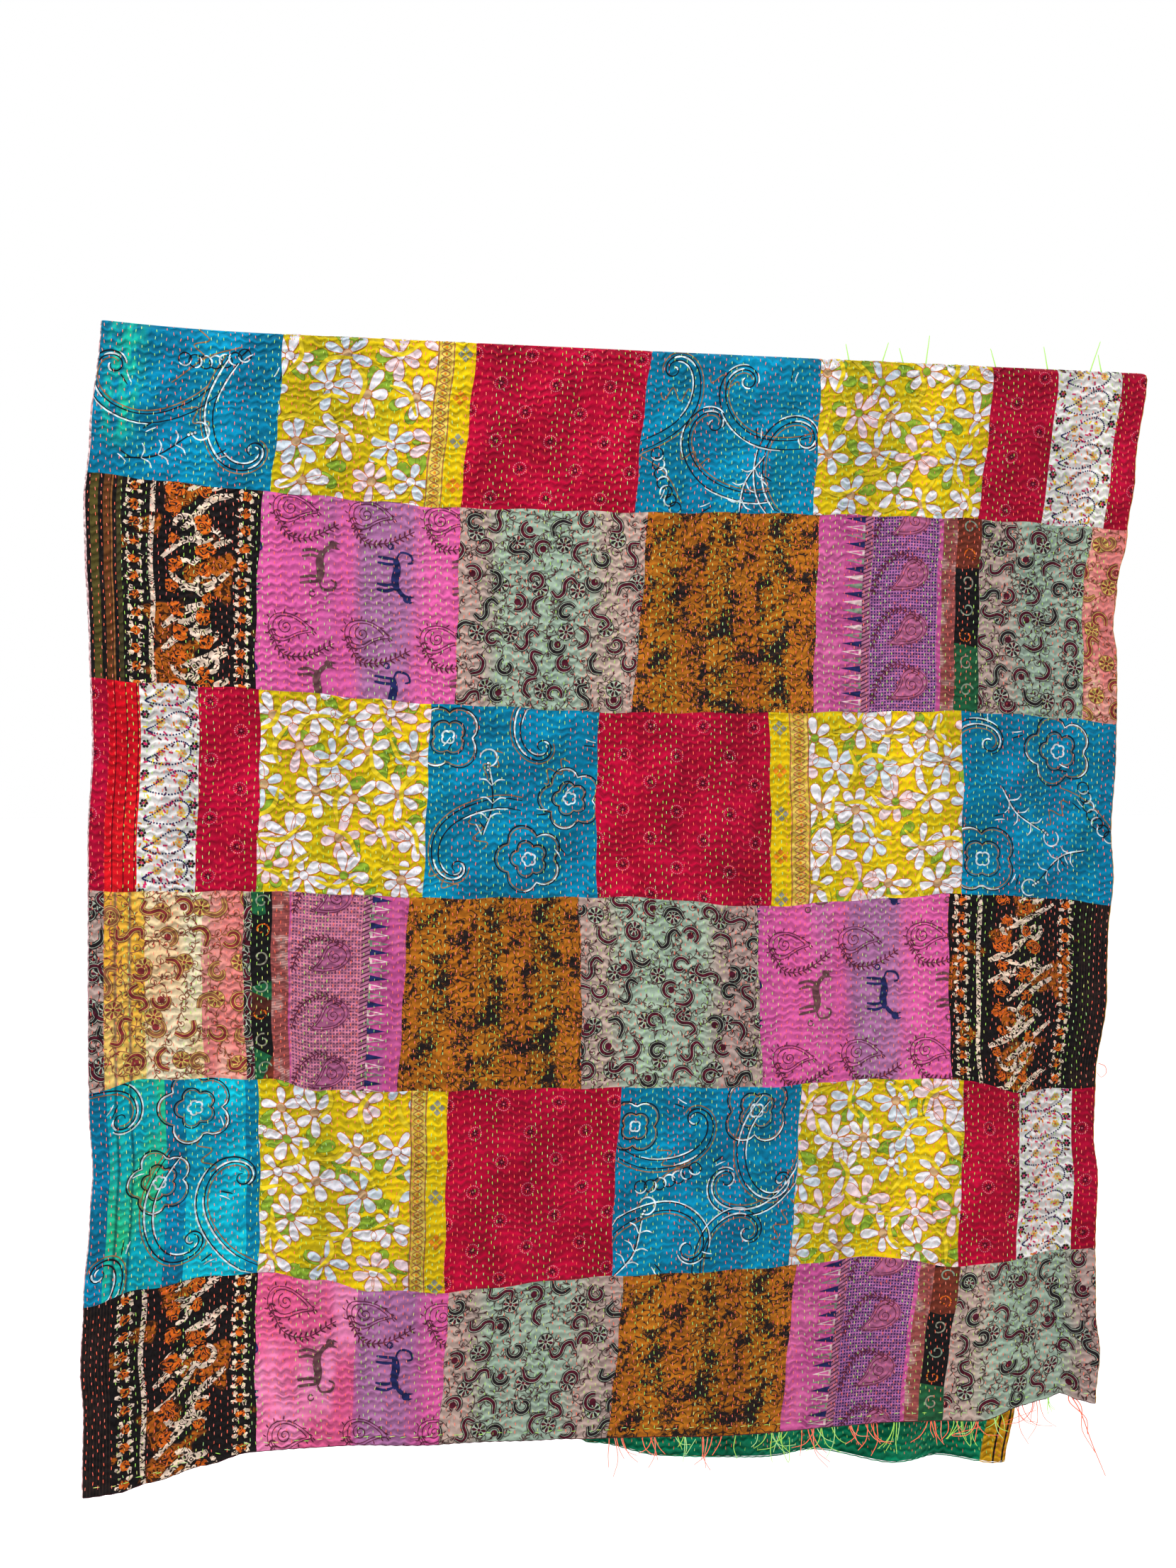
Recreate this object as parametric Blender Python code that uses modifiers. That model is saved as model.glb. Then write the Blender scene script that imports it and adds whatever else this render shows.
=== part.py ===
"""Kantha quilt, folded over a line at its top edge and hanging in two leaves.

Units are metres and +Z is up. X runs across the quilt, -Y is the side that the
front leaf faces, and the origin is the inner crown of the fold, where the line
touches the cloth. The quilt is two thin layers that follow one hanging surface:
the patchwork outside and the backing inside. A narrow strip behind the front hem
carries the loose ends of the quilting threads.
"""
import math
import random

import bmesh
import bpy
from mathutils import Matrix, Vector

# Layers, measured outward from the line
INNER_RADIUS = 0.0080
BACKING_THICKNESS = 0.0012
LAYER_GAP = 0.0003
PATCHWORK_THICKNESS = 0.0015
SURFACE_RADIUS = INNER_RADIUS + BACKING_THICKNESS + LAYER_GAP / 2

# Steps of the hanging surface
STEPS_ACROSS = 44
STEPS_FRONT = 11
STEPS_CROWN = 6
STEPS_BACK = 11

# Side edges: drop below the fold, then X of the front leaf's left and right edge
# and X of the back leaf's left and right edge
EDGE_DROP, FRONT_LEFT, FRONT_RIGHT, BACK_LEFT, BACK_RIGHT = range(5)
EDGES = (
    (0.00, -0.667, 0.851, -0.667, 0.851),
    (0.15, -0.680, 0.830, -0.684, 0.834),
    (0.30, -0.687, 0.806, -0.692, 0.812),
    (0.38, -0.684, 0.797, -0.691, 0.800),
    (0.50, -0.679, 0.802, -0.689, 0.794),
    (0.75, -0.682, 0.793, -0.688, 0.776),
    (1.05, -0.683, 0.768, -0.684, 0.752),
    (1.20, -0.678, 0.768, -0.680, 0.734),
    (1.40, -0.691, 0.767, -0.676, 0.698),
    (1.55, -0.691, 0.766, -0.672, 0.648),
    (1.64, -0.691, 0.764, -0.670, 0.634),
)

# Hem: share of the width from the left edge, then height of the front and back hem
HEM_SHARE, FRONT_HEM, BACK_HEM = range(3)
HEMS = (
    (0.00, -1.564, -1.532),
    (0.07, -1.551, -1.527),
    (0.15, -1.528, -1.522),
    (0.25, -1.521, -1.522),
    (0.33, -1.528, -1.535),
    (0.50, -1.541, -1.574),
    (0.65, -1.545, -1.600),
    (0.75, -1.546, -1.604),
    (0.87, -1.549, -1.630),
    (0.93, -1.531, -1.621),
    (1.00, -1.534, -1.638),
)

# Soft folds: share of the width at the crest, half width as a share, and how far
# the crest leans towards the front at the hem (negative leans to the back)
FOLD_AT, FOLD_HALF_WIDTH, FOLD_DEPTH = range(3)
FRONT_FOLDS = (
    (0.01, 0.060, 0.014),
    (0.15, 0.060, -0.011),
    (0.29, 0.070, 0.012),
    (0.46, 0.070, -0.008),
    (0.61, 0.060, 0.007),
    (0.77, 0.060, -0.010),
    (0.887, 0.035, 0.013),
    (0.955, 0.028, -0.011),
    (1.00, 0.020, 0.006),
)
BACK_FOLDS = (
    (0.000, 0.040, 0.012),
    (0.085, 0.045, -0.026),
    (0.190, 0.050, 0.020),
    (0.300, 0.050, -0.028),
    (0.410, 0.050, 0.022),
    (0.530, 0.055, -0.026),
    (0.670, 0.055, 0.022),
    (0.785, 0.045, -0.026),
    (0.868, 0.032, 0.020),
    (0.925, 0.028, -0.018),
    (0.985, 0.030, 0.014),
)
FOLD_GROWTH = 1.5
BACK_LEAF_STAND_OFF = 0.055

# Rise of the fold at its left corner, where the cloth rides up on the line
CORNER_RISE = 0.008
CORNER_SHARE = 0.15

# Loose thread ends along the right half of the front hem, on a strip that follows
# the steps of the hanging surface
TAIL_COUNT = 56
STRIP_FIRST_STEP = 22
STRIP_STEPS = 18
TAIL_SHORTEST = 0.028
TAIL_LONGEST = 0.074
TAIL_ROOT_RADIUS = 0.0009
TAIL_TIP_RADIUS = 0.0005
TAIL_LEAN = math.radians(9.0)
TAIL_LEAN_STEP = 0.37
TAIL_SEED = 7
STRIP_HEIGHT = 0.008
STRIP_THICKNESS = 0.0020
STRIP_ABOVE_HEM = 0.005
STRIP_BEHIND = LAYER_GAP / 2 + BACKING_THICKNESS + 2 * LAYER_GAP + STRIP_THICKNESS / 2


def clear_scene():
    for item in list(bpy.data.objects):
        bpy.data.objects.remove(item, do_unlink=True)


def read_table(table, key, column, value):
    """Smooth value of one column of a table whose rows are sorted by the key column."""
    if value <= table[0][key]:
        return table[0][column]
    for low, high in zip(table, table[1:]):
        if value <= high[key]:
            share = (value - low[key]) / (high[key] - low[key])
            share = share * share * (3 - 2 * share)
            return low[column] + (high[column] - low[column]) * share
    return table[-1][column]


def fold_lean(folds, across):
    return sum(row[FOLD_DEPTH] * math.exp(-((across - row[FOLD_AT]) / row[FOLD_HALF_WIDTH]) ** 2)
               for row in folds)


def corner_rise(across):
    return CORNER_RISE * max(0.0, 1 - across / CORNER_SHARE) ** 2


def leaf_point(across, share, side):
    """Point of a leaf: side is -1 on the front and +1 on the back, share is 0 at the fold."""
    front = side < 0
    hem = read_table(HEMS, HEM_SHARE, FRONT_HEM if front else BACK_HEM, across)
    start = -INNER_RADIUS + corner_rise(across)
    z = start + (hem - start) * share
    left = read_table(EDGES, EDGE_DROP, FRONT_LEFT if front else BACK_LEFT, -z)
    right = read_table(EDGES, EDGE_DROP, FRONT_RIGHT if front else BACK_RIGHT, -z)
    growth = share ** FOLD_GROWTH
    lean = fold_lean(FRONT_FOLDS if front else BACK_FOLDS, across) * growth
    stand_off = 0.0 if front else (BACK_LEAF_STAND_OFF - SURFACE_RADIUS) * growth
    return Vector((left + (right - left) * across, side * SURFACE_RADIUS + stand_off - lean, z))


def crown_point(across, turn):
    """Point of the fold over the line: turn runs from 0 at the front to 1 at the back."""
    left, right = EDGES[0][FRONT_LEFT], EDGES[0][FRONT_RIGHT]
    angle = math.pi * turn
    height = -INNER_RADIUS + corner_rise(across) + SURFACE_RADIUS * math.sin(angle)
    return Vector((left + (right - left) * across, -SURFACE_RADIUS * math.cos(angle), height))


def quilt_point(across, row):
    """Point of the whole hanging surface, row by row from the front hem to the back hem."""
    if row <= STEPS_FRONT:
        return leaf_point(across, 1 - row / STEPS_FRONT, -1)
    if row <= STEPS_FRONT + STEPS_CROWN:
        return crown_point(across, (row - STEPS_FRONT) / STEPS_CROWN)
    return leaf_point(across, (row - STEPS_FRONT - STEPS_CROWN) / STEPS_BACK, 1)


def material(name, colour, roughness):
    result = bpy.data.materials.new(name)
    result.use_nodes = True
    shader = result.node_tree.nodes["Principled BSDF"]
    shader.inputs["Base Color"].default_value = (*colour, 1.0)
    shader.inputs["Roughness"].default_value = roughness
    shader.inputs["Metallic"].default_value = 0.0
    return result


def add_object(name, shape, collection, finish=None):
    mesh = bpy.data.meshes.new(name)
    shape.to_mesh(mesh)
    shape.free()
    result = bpy.data.objects.new(name, mesh)
    collection.objects.link(result)
    if finish:
        mesh.materials.append(finish)
    mesh.shade_smooth()
    return result


def add_thickness(item, thickness, direction):
    shell = item.modifiers.new("thickness", "SOLIDIFY")
    shell.thickness = thickness
    shell.offset = direction


def surface_grid(steps_across, steps_along, place):
    """Grid moved onto a surface, with its faces turned away from the line."""
    shape = bmesh.new()
    bmesh.ops.create_grid(shape, x_segments=steps_across, y_segments=steps_along, size=0.5)
    for vertex in shape.verts:
        vertex.co = place(vertex.co.x + 0.5, vertex.co.y + 0.5)
    shape.normal_update()
    return shape


def shift_along_normals(shape, distance):
    moves = [(vertex, vertex.normal * distance) for vertex in shape.verts]
    for vertex, move in moves:
        vertex.co += move


def add_layer(name, thickness, direction, collection, finish):
    """One layer of the quilt, on the outer (+1) or the inner (-1) side of the surface."""
    rows = STEPS_FRONT + STEPS_CROWN + STEPS_BACK
    shape = surface_grid(STEPS_ACROSS, rows, lambda across, along: quilt_point(across, round(along * rows)))
    shift_along_normals(shape, direction * LAYER_GAP / 2)
    layer = add_object(name, shape, collection, finish)
    add_thickness(layer, thickness, direction)
    return layer


def strip_point(share_along_strip, share_up):
    """Point of the thread strip, just behind the backing of the front leaf."""
    step = STRIP_FIRST_STEP + STRIP_STEPS * share_along_strip
    low = math.floor(step)
    hem = leaf_point(low / STEPS_ACROSS, 1.0, -1)
    next_hem = leaf_point((low + 1) / STEPS_ACROSS, 1.0, -1)
    point = hem.lerp(next_hem, step - low)
    return point + Vector((0, STRIP_BEHIND, STRIP_ABOVE_HEM + STRIP_HEIGHT * (share_up - 0.5)))


def tail_shapes():
    """All the loose ends, each a three-sided taper whose root is inside the strip."""
    draw = random.Random(TAIL_SEED)
    tails = bmesh.new()
    for index in range(TAIL_COUNT):
        root = strip_point((index + 0.5) / TAIL_COUNT, 0.4)
        length = draw.uniform(TAIL_SHORTEST, TAIL_LONGEST)
        lean = Matrix.Rotation(TAIL_LEAN * math.sin(index * TAIL_LEAN_STEP), 4, "Y")
        bmesh.ops.create_cone(
            tails, cap_ends=True, segments=3, radius1=TAIL_TIP_RADIUS, radius2=TAIL_ROOT_RADIUS, depth=length,
            matrix=Matrix.Translation(root) @ lean @ Matrix.Translation((0, 0, -length / 2)))
    return tails


def add_thread_ends(collection, cutters, finish):
    shape = surface_grid(STRIP_STEPS, 1, strip_point)
    strip = add_object("thread_ends", shape, collection, finish)
    add_thickness(strip, STRIP_THICKNESS, 0)
    tails = add_object("tail_shapes", tail_shapes(), cutters)
    tails.hide_render = True
    tails.display_type = "WIRE"
    joined = strip.modifiers.new("tails", "BOOLEAN")
    joined.operation = "UNION"
    joined.object = tails
    return strip


def build():
    clear_scene()
    quilt = bpy.data.collections.new("kantha_quilt")
    cutters = bpy.data.collections.new("cutters")
    for collection in (quilt, cutters):
        bpy.context.scene.collection.children.link(collection)
    patchwork_cotton = material("patchwork_cotton", (0.50, 0.16, 0.10), 0.85)
    backing_cotton = material("backing_cotton", (0.0, 0.22, 0.10), 0.85)
    quilting_thread = material("quilting_thread", (0.90, 0.25, 0.12), 0.70)
    add_layer("patchwork_top", PATCHWORK_THICKNESS, 1, quilt, patchwork_cotton)
    add_layer("backing", BACKING_THICKNESS, -1, quilt, backing_cotton)
    add_thread_ends(quilt, cutters, quilting_thread)


build()
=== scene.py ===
"""Looks of a kantha quilt that hangs folded over a line.

The patches, their prints, the backing, the stitches and the loose threads all lie
on one hanging surface, in metres in the part's own frame: X across, +Z up, and the
front leaf faces -Y. Each patch is drawn in its own flat coordinates, p to the
right and q downward from its top left corner, and then laid on that surface.
"""
import math
import random

import bpy
import numpy as np
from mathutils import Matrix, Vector


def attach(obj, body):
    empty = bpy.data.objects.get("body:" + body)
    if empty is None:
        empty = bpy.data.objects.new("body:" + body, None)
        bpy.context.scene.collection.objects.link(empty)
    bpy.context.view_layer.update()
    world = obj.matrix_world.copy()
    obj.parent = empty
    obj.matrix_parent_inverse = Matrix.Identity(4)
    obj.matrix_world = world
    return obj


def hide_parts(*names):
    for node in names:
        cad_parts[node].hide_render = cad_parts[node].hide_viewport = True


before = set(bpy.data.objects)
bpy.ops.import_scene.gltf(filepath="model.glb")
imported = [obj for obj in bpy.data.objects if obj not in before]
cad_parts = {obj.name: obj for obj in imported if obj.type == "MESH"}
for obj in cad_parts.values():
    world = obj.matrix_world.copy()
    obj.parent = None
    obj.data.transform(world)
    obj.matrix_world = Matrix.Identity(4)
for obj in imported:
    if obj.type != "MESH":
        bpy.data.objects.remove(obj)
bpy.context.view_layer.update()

FRONT, BACK = -1, 1

# Layers, measured outward from the line
INNER_RADIUS = 0.0080
BACKING_THICKNESS = 0.0012
LAYER_GAP = 0.0003
PATCHWORK_THICKNESS = 0.0015
SURFACE_RADIUS = INNER_RADIUS + BACKING_THICKNESS + LAYER_GAP / 2
OUTER_LIFT = LAYER_GAP / 2 + PATCHWORK_THICKNESS
INNER_LIFT = -LAYER_GAP / 2 - BACKING_THICKNESS
CROWN_LENGTH = SURFACE_RADIUS * math.pi / 2

# The cut cloth
QUILT_WIDTH = 1.52
FRONT_LENGTH = 1.56
BACK_LENGTH = 1.59

# Side edges: drop below the fold, then X of each leaf's left and right edge
EDGE_DROP, FRONT_LEFT, FRONT_RIGHT, BACK_LEFT, BACK_RIGHT = range(5)
EDGES = (
    (0.00, -0.667, 0.851, -0.667, 0.851),
    (0.15, -0.680, 0.831, -0.683, 0.835),
    (0.24, -0.688, 0.819, -0.691, 0.824),
    (0.32, -0.686, 0.802, -0.689, 0.809),
    (0.38, -0.683, 0.796, -0.686, 0.800),
    (0.42, -0.681, 0.802, -0.684, 0.799),
    (0.57, -0.677, 0.801, -0.680, 0.790),
    (0.69, -0.683, 0.792, -0.686, 0.780),
    (0.75, -0.683, 0.795, -0.686, 0.776),
    (0.84, -0.683, 0.787, -0.686, 0.768),
    (0.92, -0.683, 0.785, -0.686, 0.762),
    (1.05, -0.682, 0.767, -0.685, 0.752),
    (1.14, -0.677, 0.763, -0.680, 0.742),
    (1.20, -0.681, 0.770, -0.684, 0.734),
    (1.31, -0.689, 0.765, -0.692, 0.714),
    (1.40, -0.693, 0.766, -0.696, 0.704),
    (1.46, -0.689, 0.773, -0.692, 0.685),
    (1.53, -0.690, 0.766, -0.693, 0.664),
    (1.64, -0.691, 0.762, -0.694, 0.647),
)

# Hem: share of the width from the left edge, then height of the front and back hem
HEM_SHARE, FRONT_HEM, BACK_HEM = range(3)
HEMS = (
    (0.00, -1.564, -1.532),
    (0.03, -1.562, -1.530),
    (0.06, -1.553, -1.527),
    (0.11, -1.539, -1.524),
    (0.15, -1.527, -1.522),
    (0.25, -1.521, -1.522),
    (0.33, -1.528, -1.522),
    (0.44, -1.537, -1.522),
    (0.475, -1.539, -1.530),
    (0.53, -1.541, -1.576),
    (0.60, -1.543, -1.592),
    (0.66, -1.545, -1.592),
    (0.75, -1.546, -1.605),
    (0.87, -1.547, -1.620),
    (0.92, -1.531, -1.626),
    (0.95, -1.528, -1.628),
    (0.965, -1.520, -1.630),
    (0.985, -1.530, -1.633),
    (1.00, -1.535, -1.634),
)

# Soft folds: share of the width at the crest, half width as a share, and how far
# the crest leans towards the front at the hem (negative leans to the back)
FOLD_AT, FOLD_HALF_WIDTH, FOLD_DEPTH = range(3)
FRONT_FOLDS = (
    (0.01, 0.060, 0.014),
    (0.15, 0.060, -0.011),
    (0.29, 0.070, 0.012),
    (0.46, 0.070, -0.008),
    (0.61, 0.060, 0.007),
    (0.77, 0.060, -0.010),
    (0.887, 0.035, 0.013),
    (0.955, 0.028, -0.011),
    (1.00, 0.020, 0.006),
)
BACK_FOLDS = (
    (0.000, 0.040, 0.012),
    (0.085, 0.045, -0.026),
    (0.190, 0.050, 0.020),
    (0.300, 0.050, -0.028),
    (0.410, 0.050, 0.022),
    (0.530, 0.055, -0.026),
    (0.670, 0.055, 0.022),
    (0.785, 0.045, -0.026),
    (0.868, 0.032, 0.020),
    (0.925, 0.028, -0.018),
    (0.985, 0.030, 0.014),
)
FOLD_GROWTH = 1.5
BACK_LEAF_STAND_OFF = 0.055
CORNER_RISE = 0.008
CORNER_SHARE = 0.15

# Slow unevenness of washed cloth
UNEVEN_DEPTH = 0.0011
UNEVEN_WAVES = 14
UNEVEN_SHORTEST = 0.09
UNEVEN_LONGEST = 0.26
UNEVEN_FADE = 0.08

# Front leaf's crosswise seams: X, then the height of each seam
SEAM_X = 0
SEAMS = (
    (-0.69, -0.203, -0.478, -0.761, -1.030, -1.313),
    (-0.61, -0.206, -0.480, -0.761, -1.013, -1.293),
    (-0.52, -0.211, -0.482, -0.760, -1.014, -1.283),
    (-0.45, -0.215, -0.485, -0.760, -1.017, -1.283),
    (-0.38, -0.219, -0.490, -0.764, -1.034, -1.294),
    (-0.31, -0.224, -0.497, -0.768, -1.037, -1.310),
    (-0.20, -0.230, -0.504, -0.773, -1.040, -1.319),
    (0.04, -0.229, -0.513, -0.774, -1.044, -1.311),
    (0.26, -0.225, -0.512, -0.790, -1.049, -1.309),
    (0.42, -0.224, -0.509, -0.782, -1.044, -1.303),
    (0.55, -0.224, -0.507, -0.775, -1.047, -1.321),
    (0.65, -0.227, -0.512, -0.780, -1.069, -1.315),
    (0.72, -0.230, -0.517, -0.786, -1.067, -1.306),
    (0.82, -0.234, -0.525, -0.798, -1.062, -1.302),
)

# Front leaf's upright seams: X of the five seams at the top and the foot of each row
UPRIGHTS = (
    ((-0.426, -0.158, 0.091, 0.343, 0.608), (-0.444, -0.183, 0.067, 0.328, 0.582)),
    ((-0.453, -0.183, 0.084, 0.340, 0.588), (-0.464, -0.191, 0.061, 0.329, 0.583)),
    ((-0.458, -0.224, 0.014, 0.263, 0.556), (-0.464, -0.235, 0.012, 0.266, 0.557)),
    ((-0.469, -0.255, -0.015, 0.245, 0.537), (-0.464, -0.271, -0.012, 0.253, 0.543)),
    ((-0.461, -0.201, 0.048, 0.312, 0.559), (-0.460, -0.206, 0.033, 0.293, 0.549)),
    ((-0.461, -0.199, 0.050, 0.304, 0.555), (-0.461, -0.215, 0.026, 0.279, 0.527)),
)

# Back leaf: the first seam's drop below the fold, and the rows below it
BACK_FIRST_SEAM = 0.055
BACK_ROWS = 6
SEAM_WANDER = 0.007
SEAM_RIPPLE = 0.0011

# Each patch is one fabric, or strips of several: fabric name and share of its width
# Strips named lit or glow, and the bright blue and the gold, cream and rose sage strips, are painted light:
# brighter copies of a fabric where light shines through the layers
BORDER_STRIPS = (("pink_plain", 0.16), ("triangles", 0.12), ("hatch", 0.05), ("net", 0.41),
                 ("pink_plain", 0.025), ("copper", 0.085), ("dark_strip", 0.15))
BORDER_MIRRORED = (("dark_strip", 0.131), ("copper", 0.111), ("pink_plain", 0.01), ("net_lit", 0.458),
                   ("hatch", 0.056), ("triangles_right", 0.126), ("pink_plain", 0.108))
DAISY_LEFT = (("yellow", 0.10), ("braid", 0.10), ("daisy", 0.80))
DAISY_RIGHT = (("daisy", 0.80), ("braid", 0.09), ("yellow", 0.11))
CRIMSON_WHITE = (("crimson", 0.42), ("paisley", 0.42), ("crimson", 0.16))
RED_WHITE = (("crimson", 0.09), ("red_lit", 0.19), ("paisley", 0.35), ("crimson", 0.37))
BATIK_STRIPES = (("stripes", 0.20), ("batik", 0.80))
BATIK_LEFT = (("batik", 0.83), ("black_plain", 0.17))
BATIK_RIGHT = (("black_plain", 0.16), ("batik", 0.84))
BLUE_LIT = (("blue", 0.10), ("blue_lit", 0.34), ("blue", 0.12), ("blue_bright", 0.36), ("blue", 0.08))
SAGE_LIT = (("sage", 0.09), ("sage_gold", 0.25), ("sage_cream", 0.35), ("sage_rose", 0.26), ("sage", 0.05))
SAGE_ROSE = (("sage", 0.76), ("sage_rose", 0.24))
PINK_LIT = (("pink_lit", 0.52), ("pink", 0.48))
FRONT_PATCHES = (
    ("blue_glow", DAISY_RIGHT, "crimson", "blue", "daisy", CRIMSON_WHITE),
    (BATIK_STRIPES, "pink", "sage", "brown", BORDER_STRIPS, SAGE_ROSE),
    (RED_WHITE, "daisy", "blue", "crimson", DAISY_LEFT, "blue"),
    (SAGE_LIT, BORDER_MIRRORED, "brown", "sage", "pink", BATIK_LEFT),
    (BLUE_LIT, DAISY_RIGHT, "crimson", "blue", "daisy", CRIMSON_WHITE),
    (BATIK_RIGHT, PINK_LIT, "sage", "brown", BORDER_STRIPS, "sage"),
)
BACK_PATCHES = (
    (CRIMSON_WHITE, "daisy", "blue", "crimson", DAISY_RIGHT, "blue"),
    ("brown", "sage", "pink", BATIK_LEFT, "sage", BORDER_STRIPS),
    ("daisy", "crimson", "blue", DAISY_LEFT, "crimson", "blue"),
    ("sage", "pink", BATIK_RIGHT, "sage", BORDER_MIRRORED, "brown"),
    ("crimson", "blue", "daisy", CRIMSON_WHITE, "blue", "daisy"),
    ("pink", "sage", "brown", "sage", BATIK_STRIPES, "pink"),
    ("blue", "crimson", DAISY_RIGHT, "blue", "daisy", "crimson"),
)

# Steps of the meshes
FRONT_STEP = 0.0062
BACK_STEP = 0.0095
BACKING_STEP = 0.014
SEAM_DIP = 0.0007
SEAM_DIP_REACH = 0.0028
PRINT_LIFT = 0.00030
PRINT_LEVEL = 0.00006
SMALLEST_FACE = 2e-8
BINDING = 0.011
SMALL_SHAPE = 0.0052

# Quilting stitches
ROW_PITCH = 0.0083
STITCH_PITCH = 0.0118
STITCH_LENGTH = 0.0052
STITCH_WIDTH = 0.0008
RIPPLE_PITCH = 0.0118
STITCH_HEIGHT = 0.0007
ROWS_A_COLOUR = 5
HEM_STITCHES = 84

# Finishes and grain
COTTON_FINISH = {"Roughness": 0.88, "Sheen Weight": 0.02, "Specular IOR Level": 0.06}
THREAD_FINISH = {"Roughness": 0.6, "Sheen Weight": 0.08}
WEAVE = 11000.0
PUCKER_DEPTH = 0.0036
NET_PITCH = 0.0044
# Gold border's width, and where each black stripe starts and ends, from the right edge
GOLD_BORDER = 0.0445
GOLD_STRIPES = ((0.0250, 0.0212), (0.0085, 0.0047))
LEAF = {FRONT: "front", BACK: "back"}


def colour(red, green, blue):
    """Linear colour with alpha, from the usual 0 to 255 values."""
    def linear(value):
        share = value / 255
        return share / 12.92 if share <= 0.04045 else ((share + 0.055) / 1.055) ** 2.4
    return (linear(red), linear(green), linear(blue), 1.0)


# The hanging surface

def read_table(table, key, column, values):
    """Smooth values of one column of a table whose rows are sorted by the key column."""
    keys = np.array([row[key] for row in table])
    column_values = np.array([row[column] for row in table])
    low = np.clip(np.searchsorted(keys, values, side="right") - 1, 0, len(keys) - 2)
    share = np.clip((values - keys[low]) / (keys[low + 1] - keys[low]), 0, 1)
    share = share * share * (3 - 2 * share)
    return column_values[low] + (column_values[low + 1] - column_values[low]) * share


def uneven_waves():
    draw = random.Random(31)
    waves = []
    for _ in range(UNEVEN_WAVES):
        number = 2 * math.pi / draw.uniform(UNEVEN_SHORTEST, UNEVEN_LONGEST)
        heading = draw.uniform(0, math.pi)
        waves.append((number * math.cos(heading), number * math.sin(heading), draw.uniform(0, 2 * math.pi)))
    return waves


WAVES = uneven_waves()


def unevenness(x, drop):
    total = sum(np.sin(across * x + down * drop + phase) for across, down, phase in WAVES)
    return UNEVEN_DEPTH * total / math.sqrt(UNEVEN_WAVES / 2) * np.clip(drop / UNEVEN_FADE, 0, 1)


def edge_x(side, height, right):
    if side == FRONT:
        column = FRONT_RIGHT if right else FRONT_LEFT
    else:
        column = BACK_RIGHT if right else BACK_LEFT
    return read_table(EDGES, EDGE_DROP, column, -height)


def x_at(side, height, share):
    """X at a share of a leaf's width, at a height."""
    left, right = edge_x(side, height, False), edge_x(side, height, True)
    return left + (right - left) * share


def height_of(drop):
    """Height of a point of a leaf, by its drop along the cloth from the crown."""
    return -INNER_RADIUS - (drop - CROWN_LENGTH)


def drop_of(height):
    return CROWN_LENGTH - INNER_RADIUS - height


def share_across(side, x, height):
    left, right = edge_x(side, height, False), edge_x(side, height, True)
    return (x - left) / (right - left)


def hem_height(side, across):
    return read_table(HEMS, HEM_SHARE, FRONT_HEM if side == FRONT else BACK_HEM, across)


def reference_point(side, x, drop):
    """Points of the surface between the two layers, at X and a drop along the cloth."""
    x, drop = np.asarray(x, float), np.asarray(drop, float)
    height = height_of(np.maximum(drop, CROWN_LENGTH))
    across = share_across(side, x, height)
    hem = hem_height(side, across)
    down = np.clip((-INNER_RADIUS - height) / (-INNER_RADIUS - hem), 0, 1.1)
    growth = down ** FOLD_GROWTH
    folds = FRONT_FOLDS if side == FRONT else BACK_FOLDS
    lean = sum(row[FOLD_DEPTH] * np.exp(-((across - row[FOLD_AT]) / row[FOLD_HALF_WIDTH]) ** 2)
               for row in folds) * growth
    stand_off = 0.0 if side == FRONT else (BACK_LEAF_STAND_OFF - SURFACE_RADIUS) * growth
    angle = np.minimum(drop, CROWN_LENGTH) / SURFACE_RADIUS
    rise = CORNER_RISE * np.maximum(0, 1 - across / CORNER_SHARE) ** 2 * (1 - np.clip(down, 0, 1))
    y = side * SURFACE_RADIUS * np.sin(angle) + stand_off - lean + unevenness(x, drop) * side
    z = np.where(drop > CROWN_LENGTH, height, -INNER_RADIUS + SURFACE_RADIUS * np.cos(angle)) + rise
    return np.stack([x, y, z], axis=-1)


def surface_frame(side, x, drop):
    """Points, unit directions across and down the cloth, and outward normals."""
    reach = 0.0015
    middle = reference_point(side, x, drop)
    across = reference_point(side, x + reach, drop) - reference_point(side, x - reach, drop)
    down = reference_point(side, x, drop + reach) - reference_point(side, x, np.maximum(drop - reach, 0))
    normal = np.cross(across, down) * side
    unit = [v / np.linalg.norm(v, axis=-1, keepdims=True) for v in (across, down, normal)]
    return middle, *unit


def lay(side, x, drop, lift):
    """Points lifted off the reference surface, and their normals."""
    middle, _, _, normal = surface_frame(side, x, drop)
    return middle + normal * np.asarray(lift)[..., None], normal


def cloth_coordinates(side, x, drop):
    """Flat coordinates of the whole cut cloth: metres from the left edge and from the front hem."""
    across = share_across(side, x, height_of(np.maximum(drop, CROWN_LENGTH)))
    return np.stack([across * QUILT_WIDTH, FRONT_LENGTH + side * drop], axis=-1)


# Meshes

def add_mesh(name, points, faces, looks, face_looks=None, maps=None, normals=None):
    """Smooth-shaded mesh object with its materials and UV maps, in metres."""
    mesh = bpy.data.meshes.new(name)
    mesh.from_pydata(np.asarray(points).tolist(), [], faces)
    for look in looks:
        mesh.materials.append(look)
    if face_looks is not None:
        mesh.polygons.foreach_set("material_index", np.asarray(face_looks, dtype=np.int32))
    corners = np.empty(len(mesh.loops), dtype=np.int32)
    mesh.loops.foreach_get("vertex_index", corners)
    for map_name, values in (maps or {}).items():
        layer = mesh.uv_layers.new(name=map_name)
        layer.data.foreach_set("uv", np.asarray(values, dtype=np.float32)[corners].ravel())
    mesh.shade_smooth()
    if normals is not None:
        mesh.normals_split_custom_set_from_vertices(np.asarray(normals).tolist())
    item = bpy.data.objects.new(name, mesh)
    bpy.context.scene.collection.objects.link(item)
    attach(item, "root")
    return item


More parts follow.
